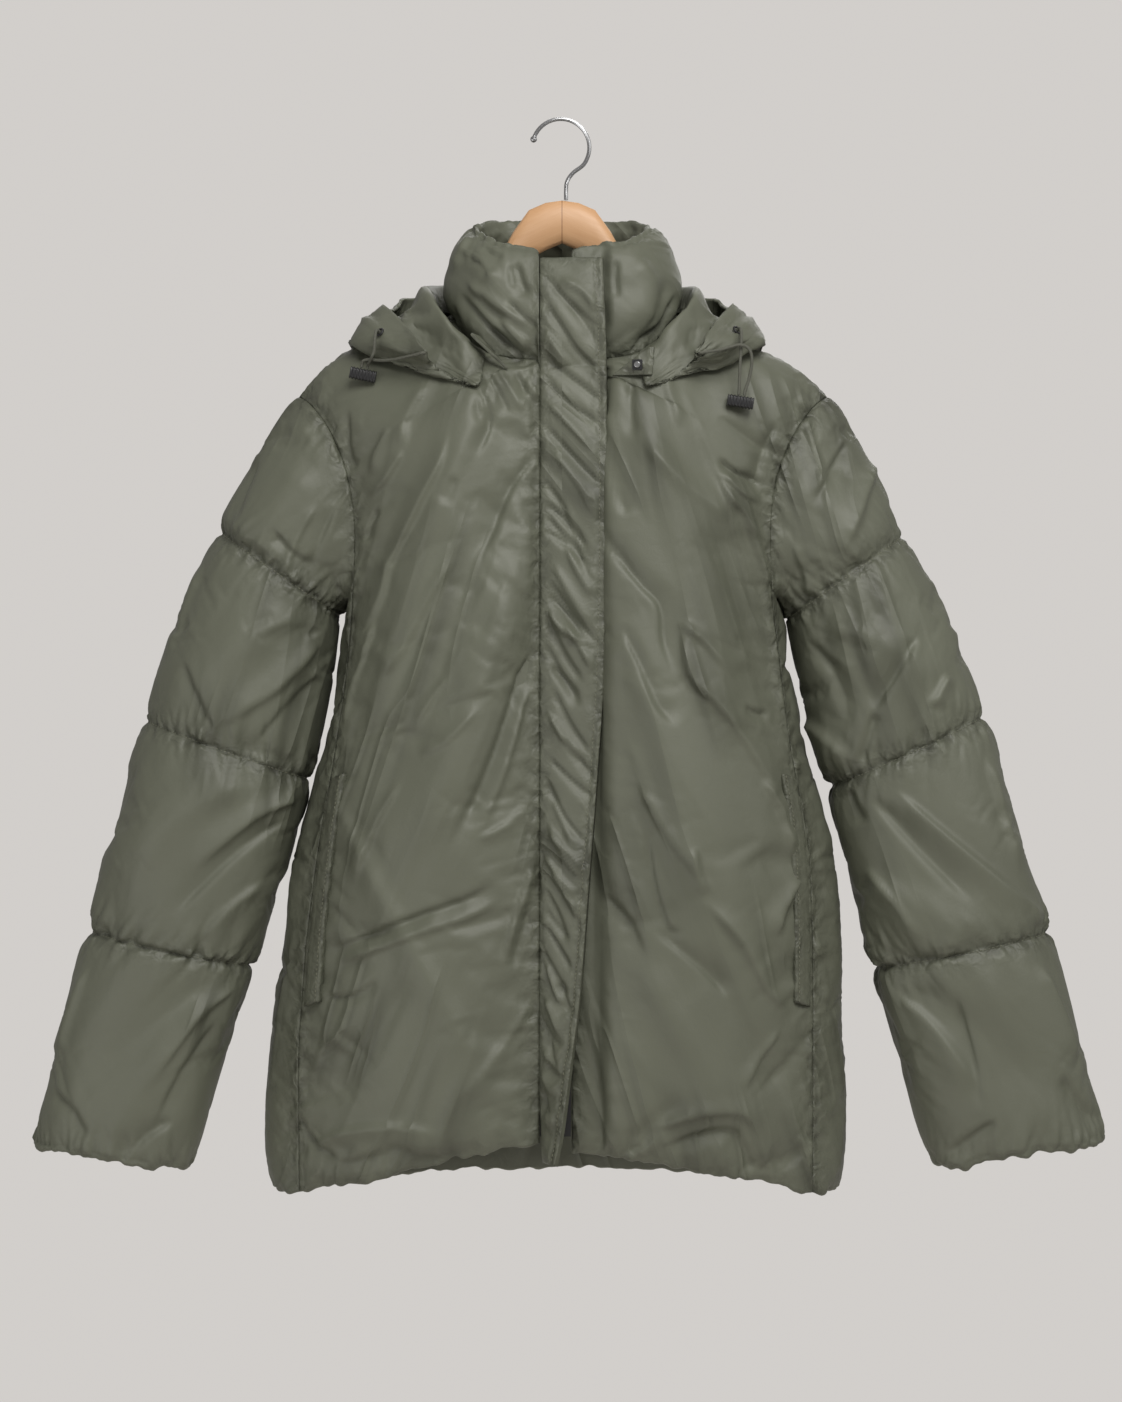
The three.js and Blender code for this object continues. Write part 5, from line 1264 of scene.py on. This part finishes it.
def neckline():
    """The neck seam from the wearer's right closure, round the back, to the left one."""
    rows = np.arange(NECK_ROW, SHOULDER_ROW + 1)
    right = smooth_route(front_point(-1, 0.0, rows), 10)
    behind = back_top(np.linspace(BACK_COLUMNS / 2 - HALF_NECK, BACK_COLUMNS / 2 + HALF_NECK, 81))
    left = smooth_route(front_point(1, 0.0, rows[::-1]), 10)
    line = np.concatenate([right, behind[1:-1], left])
    at = even_steps(line)
    return np.stack([np.interp(at, np.arange(len(line)), line[:, k]) for k in range(3)], -1)


def make_collar():
    foot = neckline()[None]
    low_y = float(body_curve(float(NECK_ROW))[1])
    high_y = float(body_curve(float(SHOULDER_ROW))[10])
    share = np.linspace(0, 1, 41)[:, None]
    narrowing, forward, swell = COLLAR_SHAPE(share)
    behind = np.clip((foot[..., 1] - low_y) / (high_y - low_y), 0, 1)
    wide = np.clip((np.abs(foot[..., 0]) - 20) / 60, 0, 1)
    out = unit(np.stack([foot[..., 0] * 1.1, (foot[..., 1] - low_y * 0.25) * 1.2], -1))
    x = foot[..., 0] * mix(1, narrowing, wide) + out[..., 0] * swell * wide
    y = foot[..., 1] + out[..., 1] * swell + forward * (1 - behind) - forward * behind
    z = mix(foot[..., 2], mix(COLLAR_FRONT_TOP, COLLAR_BACK_TOP, behind**0.6), share)
    middle = np.stack([x, y, z], -1)
    normals = normals_of(middle, False, middle - [0, 10, 0])
    width = middle.shape[1]
    from_end = np.minimum(np.arange(width), np.arange(width)[::-1])[None] * SPACING
    normals[..., 0] *= ease(from_end / 24)
    normals = unit(normals)
    rise = down_run(middle)
    past_top = np.clip(1 - (rise[-1:] - rise) / 15, 0, 1)
    full = np.minimum(1 - np.exp(-rise / LOFT_REACH), 1 - np.exp(-from_end / 14))
    full = COLLAR_LOFT * full * mix(0.25, 1, np.sqrt(1 - past_top**2))
    flapped = (middle[..., 0] > 0) & (middle[..., 1] < -40)
    bare = np.where(flapped, ease((middle[..., 0] - FLAP_RIGHT + 4) / 10), 1)
    outer = middle + normals * (1.2 + full * bare)[..., None]
    inner = middle - normals * (1.2 + full)[..., None]
    roll = rolled_rim(outer[-1], inner[-1], np.array([0, 0, 1.5]))
    loop = np.concatenate([outer, roll, inner[::-1]])
    run = down_run(loop)
    steps = int(round(run[-1].mean() / SPACING / INNER_STEP)) * INNER_STEP
    even = np.zeros((steps + 1, width, 3))
    for column in range(width):
        at = np.linspace(0, run[-1, column], steps + 1)
        for k in range(3):
            even[:, column, k] = np.interp(at, run[:, column], loop[:, column, k])
    rows = np.interp(np.linspace(0, 2, steps + 1), [0, 1, 2], [0, 1, 0])[:, None, None]
    core = mix((even[:1] + even[-1:]) / 2, (outer[-1:] + inner[-1:]) / 2, rows)
    panel = Panel("collar", even, [(0, 0), (-1, 0)], even - core)
    panel.normals *= np.sign(((even - core) * panel.normals).sum(-1, keepdims=True))
    panel.lift[:] = 0
    is_front = ease((-6 - even[..., 1]) / 30) * (panel.normals[..., 1] < 0.2)
    fold = 0.9 * streaks(panel, 0.9, 26, 150, 161) + 0.4 * streaks(panel, 0.9, 10, 60, 164)
    panel.crease = (fold + 1.3 * crease_lift(even, COLLAR_CREASES) * is_front) * panel.free
    over_top = np.abs(panel.down - panel.down[-1:] / 2)
    from_foot = panel.down[-1:] - panel.down
    seam_gathers = [
        (panel.down, panel.across, 8, 1.7, 10, 167),
        (panel.down, panel.across, 18, 2.38, 24, 170),
        (from_foot, panel.across, 8, 1.7, 10, 173),
        (from_foot, panel.across, 18, 2.38, 24, 176),
        (over_top + 3, panel.across, 11, 2.2, 13, 179),
    ]
    pucker(panel, seam_gathers)
    return panel


def close_loop(panel, outer, material):
    """A closed piece from a strip that runs up its outer face, over the top and down its inner one."""
    rows, columns = outer.shape[:2]
    index = np.arange(rows * columns).reshape(rows, columns)
    faces = quads_of(index).tolist() + quads_of(index[[-1, 0]]).tolist()
    for line in (index[:, 0].tolist(), index[:, -1].tolist()):
        for i in range(rows // 2):
            face = [line[i], line[i + 1], line[-2 - i], line[-1 - i]]
            faces.append(list(dict.fromkeys(face)))
    flats = np.stack([panel.across, panel.down], -1) * MM
    piece = new_piece(panel.name + "_cloth", outer, faces)
    return finish_cloth(piece, flats, panel.distance, panel.name, material=material)


slanting_nylon = make_nylon("slanting_nylon", 0.75, False)
collar = make_collar()
close_loop(collar, settle(collar, 0.4, 0.01, 4), slanting_nylon)

# ---- Storm flap ----
# A padded strip that is sewn beside the closure and snaps over it. Its right edge is free, and it
# stands off the front. Creases run slantwise across it, since the lining is shorter than the shell.
FLAP_LOFT = 6.0
TOPSTITCH_IN = 5.5
FLAP = [
    # z, left edge, right edge, how far the free edge stands forward
    (-875, -15, -5, 30),
    (-845, -17, 1, 29),
    (-800, -18.4, 7, 25),
    (-740, -18.4, 15, 20),
    (-650, -18.4, 22, 15),
    (-560, -18.4, 29, 12),
    (-450, -18.4, 36, 10),
    (-350, -18.4, 38, 9),
    (-216, -18.4, 37, 8),
    (-125, -18.4, 34, 6),
]
FLAP_CREASES = [
    (5, 2.6, -0.8, (-2, -147, 17, -155, 32, -174)),
    (5, -3, 0.9, (-15, -139, 5, -162, 22, -184, 34, -202)),
    (4, -2.4, 0.8, (5, -160, 22, -177, 34, -190)),
    (5, -3, 0.9, (-15, -160, -2, -179, 15, -203, 35, -222)),
    (4, 2.4, 0.8, (-13, -187, -4, -198, 10, -217)),
    (5, -3, 0.9, (-15, -198, -2, -217, 22, -236, 37, -250)),
    (5, -2.8, 0.9, (-14, -226, 5, -245, 37, -269)),
    (5, 2.6, -0.8, (-13, -246, 8, -266, 30, -290)),
    (5, -3, 0.9, (-15, -262, 4, -284, 24, -306, 37, -318)),
    (5, -3.4, 0.9, (-13, -328, 7, -347, 24, -372)),
    (5, 3.2, -0.8, (-13, -417, 4, -437, 35, -450)),
]


def closure_line():
    """How far forward the closure stands at each height, up the right front and the collar."""
    body = front_point(-1, 0.0, np.linspace(0, NECK_ROW, 81))
    share = np.linspace(0, 1, 25)[1:]
    _, forward, swell = COLLAR_SHAPE(share)
    foot = front_point(-1, 0.0, float(NECK_ROW))
    low_y = float(body_curve(float(NECK_ROW))[1])
    out = unit(np.array([foot[0] * 1.1, (foot[1] - low_y * 0.25) * 1.2]))
    y = foot[1] + out[1] * swell + forward
    z = mix(foot[2], COLLAR_FRONT_TOP, share)
    return np.concatenate([body[:, 2], z]), np.concatenate([body[:, 1], y])


closure_heights, closure_depths = closure_line()


def make_flap():
    edges = Curve(FLAP)
    steps = INNER_STEP * int((FLAP[-1][0] - FLAP[0][0]) / SPACING / INNER_STEP)
    heights = np.linspace(FLAP[0][0], FLAP[-1][0], steps + 1)
    left, right, stand = edges(heights)
    shares = np.linspace(0, 1, 29)[None, :]
    y = np.interp(heights, closure_heights, closure_depths)[:, None] - stand[:, None] * shares**1.3
    x = mix(left[:, None], right[:, None], shares)
    points = np.stack(np.broadcast_arrays(x, y, heights[:, None]), -1)
    panel = Panel("storm_flap", points, [(0, 3), (-1, 3)], np.array([0, -1, 0]))
    panel.lift = loft(panel, FLAP_LOFT, 8)
    rng = np.random.default_rng(7)
    creases, z = list(FLAP_CREASES), -286.0
    while z > -846:
        width = np.interp(z, [-875, -560, -350], [12, 46, 54])
        drop = rng.uniform(0.75, 1.35) * width
        start = rng.choice([-15, -12, -8, 2])
        end = -17 + rng.uniform(0.7, 1.05) * width
        bend = rng.uniform(0.4, 0.62)
        height = rng.choice([-1, -1, 1]) * rng.uniform(1.8, 3.2)
        course = (start, z, mix(start, end, 0.5), z - drop * bend, end, z - drop)
        creases.append((rng.uniform(3.5, 6), height, -np.sign(height) * rng.uniform(0.6, 1), course))
        z -= rng.uniform(9, 24) * (0.5 + width / 100)
    free = ease(np.minimum(panel.across, panel.from_last) / 6)
    fold = 1.35 * crease_lift(points, creases) + 0.9 * streaks(panel, 0.75, 14, 90, 190)
    panel.crease = fold * free
    seam_gathers = [
        (panel.across, panel.down, 6, 0.9, 6, 193),
        (panel.from_last, panel.down, 7, 1.0, 6, 196),
    ]
    pucker(panel, seam_gathers)
    # A line of stitching runs down beside the free edge and draws it in.
    panel.crease -= 1.6 * np.exp(-(((panel.from_last - TOPSTITCH_IN) / 1.5) ** 2))
    return panel


flap = make_flap()
flap_outer = settle(flap, 0.8, 0.0, 3)
close_panel(flap, flap_outer, material=slanting_nylon)
edge_column = int(np.argmin(np.abs(flap.from_last[len(flap.base) // 2] - TOPSTITCH_IN)))
flap_line = (flap_outer + flap.normals * STITCH_PROUD)[2:-2, edge_column]
add_stitches("flap_stitches", flap_line, seed=5)

# ---- Zip ----
# A moulded zip behind the flap, closed up to the collar's top. Only its box shows, under the flap's
# lower end. Black tape sewn to both fronts, with a steel box clamped on its foot.
ZIP_INSET = 21
ZIP_TEETH = 240
ZIP_FRONT = 2.2  # depths behind the closure
TEETH_FRONT = 1.6
ZIP_BACK = 4.6
satin_black = Shader("satin_black")
black_plastic = satin_black.finish(
    Base_Color=colour("#1b1b1d"),
    Roughness=satin_black.noise(300, 2) * 0.12 + 0.34,
    Normal=satin_black.bump(satin_black.noise(1500, 2), 0.0001, 0.4),
)
bright = Shader("bright_steel")
brushed = bright.noise(60, 3, 0.6, bright.stretched((1, 1, 6)))
steel = bright.finish(Base_Color=colour("#a9aaac"), Metallic=1.0, Roughness=brushed * 0.06 + 0.24)


def capped_tube(name, rings):
    """A closed tube through rings of points, with a flat cap at each end."""
    rings = np.asarray(rings)
    index = np.arange(rings.shape[0] * rings.shape[1]).reshape(rings.shape[:2])
    faces = quads_of(index, True).tolist() + [index[0, ::-1].tolist(), index[-1].tolist()]
    return new_piece(name, rings, faces)


def make_zip():
    heights = np.linspace(FLAP[0][0] + ZIP_INSET, FLAP[-1][0] - ZIP_INSET, ZIP_TEETH)
    y = np.interp(heights, closure_heights, closure_depths)
    section = [
        (-18.4, ZIP_FRONT),
        (-8.2, ZIP_FRONT),
        (-8, TEETH_FRONT),
        (-3, TEETH_FRONT),
        (-2.8, ZIP_FRONT),
        (7.4, ZIP_FRONT),
        (7.4, ZIP_BACK),
        (-18.4, ZIP_BACK),
    ]
    rings = []
    for k, height in enumerate(heights):
        tooth = {TEETH_FRONT: 0.5 if k % 2 else 0}
        rings.append([(x, y[k] + deep - tooth.get(deep, 0), height) for x, deep in section])
    return capped_tube("zip_tape", rings)


zip_tape = make_zip()
zip_tape.data.materials.append(black_plastic)
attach(zip_tape, "root")
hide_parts("zip")


def bevelled_copy(node, name, width, material):
    """A copy of a hard piece with its edges rounded."""
    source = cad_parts[node]
    mesh = source.data.copy()
    mesh.transform(source.matrix_world)
    mesh.materials.clear()
    mesh.materials.append(material)
    piece = add_object(name, mesh)
    solid = bmesh.new()
    solid.from_mesh(mesh)
    bmesh.ops.remove_doubles(solid, verts=solid.verts, dist=1e-6)
    sharp = [e for e in solid.edges if len(e.link_faces) == 2 and e.calc_face_angle() > 0.6]
    rounded = {"segments": 3, "affect": "EDGES", "profile": 0.6, "clamp_overlap": True}
    bmesh.ops.bevel(solid, geom=sharp, offset=width, **rounded)
    for face in solid.faces:
        face.smooth = True
    solid.to_mesh(mesh)
    solid.free()
    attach(piece, "root")
    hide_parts(node)
    return piece


bevelled_copy("zip_box", "zip_foot", 0.0004, steel)

# ---- Pocket welts ----
# Each pocket opens along the side seam, behind a stiff narrow welt of the same nylon that is turned
# over a strip of fill and sewn down at both ends.
WELT_ROWS = (5, 11)
WELT_SHARES = (0.9, 0.984)
WELT_LINES = 13


def make_welt(name, side):
    rows = even_steps(front_point(side, 0.95, np.linspace(*WELT_ROWS, 121))) / 120
    rows = mix(*WELT_ROWS, rows)
    base = front_point(side, np.linspace(*WELT_SHARES, WELT_LINES)[None, :], rows[:, None])
    panel = Panel(name, base, [(0, 0), (-1, 0)], np.array([0, -1, 0]))
    under = EDGE_HALF + BODY_LOFT * (1 - np.exp(-panel.from_last / LOFT_REACH)) + 0.3
    panel.lift = under + 1.0 + 2.4 * np.sin(math.pi * np.linspace(0, 1, WELT_LINES))[None, :] ** 0.7
    panel.crease = gathers(panel.from_last, panel.down, 6, 0.9, 8, 201 + side)
    return panel


for name, side in (("pocket_welt_right", -1), ("pocket_welt_left", 1)):
    welt = make_welt(name, side)
    welt_outer = welt.base + welt.normals * (welt.lift + welt.crease)[..., None]
    close_panel(welt, welt_outer)
    add_stitches(name + "_stitches", (welt_outer + welt.normals * 0.2)[1:-1, 2], seed=8)

# ---- Hood ----
# Two layers of the same nylon, sewn flat without fill and laid back off the neck. Its brim is turned
# over the drawcord, which gathers it, and its own weight folds the rest down behind the shoulders.
HOOD_MARKS = 7
HOOD_HALF = 1.3
CASING = 21.0  # width of the drawcord's casing along the brim
HOOD_SPREAD_LEFT = 0.95
HOOD = [
    # station, then attach, ridge, slot, under, fold, over and brim
    (
        0,
        (0, 60, -152), (0, 68, -130), (0, 74, -165), (0, 72, -290), (0, 88, -402), (0, 116, -270),
        (0, 98, -130),
    ),
    (
        1,
        (54, 54, -156), (60, 63, -132), (66, 71, -166), (68, 71, -280), (76, 86, -388), (84, 112, -262),
        (75, 94, -133),
    ),
    (
        2,
        (95, 28, -162), (102, 36, -138), (112, 50, -161), (118, 68, -230), (136, 82, -318),
        (146, 96, -226), (126, 68, -144),
    ),
    (
        3,
        (106, 0, -163), (114, 0, -142), (131, 6, -165), (154, 22, -176), (178, 38, -189),
        (170, 26, -173), (151, 8, -154),
    ),
    (
        4,
        (102, -31, -173), (109, -41, -152), (125, -46, -173), (150, -43, -190), (177, -36, -192),
        (164, -49, -184), (138, -54, -169),
    ),
    (
        5,
        (89, -54, -188), (95, -68, -174), (106, -68, -200), (128, -67, -214), (151, -60, -206),
        (142, -75, -199), (124, -81, -187),
    ),
    (
        6,
        (64, -66, -203), (66, -77, -214), (70, -91, -232), (90, -84, -226), (106, -81, -214),
        (111, -89, -210), (112, -93, -205),
    ),
]


def sections(marks, shares):
    """Smooth sections through seven marks each. marks is (columns, 7, 3) and shares runs 0 to 1."""
    before, after = 2 * marks[:, :1] - marks[:, 1:2], 2 * marks[:, -1:] - marks[:, -2:-1]
    ended = np.concatenate([before, marks, after], 1)
    gaps = np.maximum(np.linalg.norm(np.diff(ended, axis=1), axis=-1) ** 0.5, 1e-4)[..., None]
    at = np.clip(shares, 0, 1) * (marks.shape[1] - 1)
    span = np.minimum(at.astype(int), marks.shape[1] - 2)
    t = (at - span)[None, :, None]
    a, b, c, d = (ended[:, span + k] for k in range(4))
    d0, d1, d2 = (gaps[:, span + k] for k in range(3))
    t1 = ((b - a) / d0 - (c - a) / (d0 + d1) + (c - b) / d1) * d1
    t2 = ((c - b) / d1 - (d - b) / (d1 + d2) + (d - c) / d2) * d1
    return b + t1 * t + (-3 * b + 3 * c - 2 * t1 - t2) * t**2 + (2 * b - 2 * c + t1 + t2) * t**3


def make_hood():
    rows = []
    for station, *marks in HOOD:
        for side in (-1, 1) if station else (1,):
            row = [side * station]
            for x, y, z in marks:
                row += [x * side, y, z]
            rows.append(row)
    curve = Curve(rows)

    def marks_at(stations):
        found = np.moveaxis(curve(stations), 0, -1).reshape(len(stations), HOOD_MARKS, 3).copy()
        spread = np.where(stations[:, None] > 0, HOOD_SPREAD_LEFT, 1)
        found[..., 0] *= mix(1, spread, np.clip(np.abs(found[..., 0]) / 50 - 2, 0, 1))
        return found

    stations = cut(lambda at: marks_at(at)[:, 4], -6, 6, 480, SPACING * 1.05)
    middle = sections(marks_at(np.array([0.0, 2.0])), np.linspace(0, 1, 1201)).mean(0)
    points = sections(marks_at(stations), even_steps(middle) / 1200).swapaxes(0, 1)
    panel = Panel("hood", points, [(0, 0)], np.array([0, 0, 1]))
    away = unit(points * [1, 1, 0] + [0, 5, 0])
    along = np.gradient(points, axis=0)
    outward = away * -along[..., 2:] + np.array([0, 0, 1.0]) * (along * away).sum(-1, keepdims=True)
    panel.normals *= np.sign((panel.normals * outward).sum(-1, keepdims=True))
    from_brim = panel.down[-1:] - panel.down
    fold = 3.4 * streaks(panel, 0.3, 30, 120, 211) + 0.5 * streaks(panel, -0.6, 14, 60, 214)
    panel.crease = fold * panel.free - 1.8 * np.exp(-(((from_brim - CASING) / 2.2) ** 2))
    seam_gathers = [
        (np.abs(from_brim - 10) + 2, panel.across, 10, 1.7, 15, 217),
        (panel.down, panel.across, 10, 1.2, 12, 220),
    ]
    pucker(panel, seam_gathers)
    panel.lift[:] = 0
    panel.pin = np.clip(1 - panel.down / 8, 0, 1)
    panel.pin = np.maximum(panel.pin, 0.25 * (np.abs(stations) > 5.3)[None, :])
    return panel


hood = make_hood()
hood.base = settle(hood, 0.0, 0.02, 7)
turned = normals_of(hood.base, False, np.array([0, 0, 1]))
hood.normals = turned * np.sign((turned * hood.normals).sum(-1, keepdims=True))
hood_cloth = close_panel(hood, hood.base + hood.normals * HOOD_HALF)
to_brim = (hood.down[-1:] - hood.down)[:, hood.base.shape[1] // 2]
casing_row = int(np.argmin(np.abs(to_brim - CASING)))
casing_line = (hood.base + hood.normals * (HOOD_HALF + 0.2))[casing_row, 2:-2]
add_stitches("hood_stitches", casing_line, seed=9)

# ---- Hood tabs ----
# Two flat tabs of doubled nylon close the hood's front corners over the collar's foot. The wearer's
# left one turns back and shows a black square of tape with one half of a snap.
TAB_CUTS = {"hood_tab_right": (0.039, 0.012, 0.00038), "hood_tab_left": (0.036, 0.023, 0.00057)}

for name, (width, length, area) in TAB_CUTS.items():
    tab = bevelled_copy(name, name + "_cloth", 0.0006, nylon)
bevelled_copy("tab_patch", "tab_snap_patch", 0.0002, black_plastic)
bevelled_copy("tab_snap", "tab_snap_cap", 0.0003, steel)

# ---- Flap snap ----
# One half of a steel snap, pressed through the left front at the flap's lower end. Its cap shows
# just past the flap's free edge.
bevelled_copy("flap_snap", "flap_snap_cap", 0.0003, steel)

# ---- Eyelets and cord locks ----
# A black eyelet in each side of the brim, and a ribbed black plastic lock that grips both strands.
# The locks hang on their cords.
LOCK_RINGS = 37
LOCK_SIDES = 28


def make_lock(node):
    """A cord lock's barrel, ringed with ribs, in the place and size of its plain block."""
    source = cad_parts[node]
    block = np.array([source.matrix_world @ v.co for v in source.data.vertices]) / MM
    centre = (block.min(0) + block.max(0)) / 2
    axes = np.linalg.svd(block - centre)[2]
    half = np.abs((block - centre) @ axes.T).max(0)
    ribs = np.linspace(-1, 1, LOCK_RINGS)
    thick = np.where(np.abs(ribs) > 0.9, 1.0, 0.9 + 0.1 * np.cos(ribs * math.pi * 8))
    thick *= np.where(np.abs(ribs) > 0.98, 0.86, 1)
    turn = np.linspace(0, 2 * math.pi, LOCK_SIDES, endpoint=False)
    rounded = np.stack([np.sign(f) * np.abs(f) ** 0.5 for f in (np.cos(turn), np.sin(turn))], -1)
    section = rounded[None] * half[1:] * thick[:, None, None]
    length = np.broadcast_to((ribs * half[0])[:, None, None], (LOCK_RINGS, LOCK_SIDES, 1))
    piece = capped_tube(node + "_barrel", np.concatenate([length, section], -1) @ axes + centre)
    face_outward(piece.data)
    smooth = [len(face.vertices) == 4 for face in piece.data.polygons]
    piece.data.polygons.foreach_set("use_smooth", smooth)
    piece.data.materials.append(black_plastic)
    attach(piece, "root")
    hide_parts(node)
    return piece


for side in ("right", "left"):
    bevelled_copy(f"eyelet_{side}", f"eyelet_{side}_ring", 0.0001, black_plastic)
    lock = make_lock(f"cord_lock_{side}")
    for strand in ("eyelet", "brim"):
        piece, points = cords[f"{side}_{strand}"]

# ---- Hanger ----
# Two arms of pale beech meet at a glued joint in the middle, and the grain runs along each arm. A
# bright steel wire is screwed in at the peak and bent into a hook with a small ball at its tip.
WOOD_SLOPE = 0.42
wood = Shader("pale_beech")
parts = wood.node("ShaderNodeSeparateXYZ", {}, {"Vector": wood.place})
across_joint = wood.node("ShaderNodeMath", {"operation": "ABSOLUTE"}, {0: parts})
height = Socket(wood, parts.link.node.outputs["Z"])
depth = Socket(wood, parts.link.node.outputs["Y"])
along = across_joint * math.cos(WOOD_SLOPE) - height * math.sin(WOOD_SLOPE)
over = across_joint * math.sin(WOOD_SLOPE) + height * math.cos(WOOD_SLOPE)
side_of = wood.node("ShaderNodeMath", {"operation": "SIGN"}, {0: parts})
sockets = {0: along * 5, 1: depth * 30 + side_of, 2: over * 60}
figure = wood.noise(1.6, 4, 0.6, wood.node("ShaderNodeCombineXYZ", {}, sockets), 0.6)
sockets = {0: along * 6, 1: depth * 60, 2: over * 90}
pores = wood.noise(9, 2, 0.5, wood.node("ShaderNodeCombineXYZ", {}, sockets))
joint = wood.node("ShaderNodeMath", {"operation": "LESS_THAN"}, {0: across_joint, 1: 0.0004})
plain = wood.blend(figure, colour("#b68a62"), colour("#caa47d"))
wood_material = wood.finish(
    Base_Color=wood.blend(joint, wood.blend(pores * 0.35, plain, colour("#ad7e53")), colour("#8a6444")),
    Roughness=pores * 0.15 + 0.38,
    Normal=wood.bump(pores, 0.0002, 0.3),
)
bevelled_copy("hanger_wood", "hanger_arms", 0.001, wood_material)
bevelled_copy("hanger_hook", "hanger_wire", 0.0001, steel)
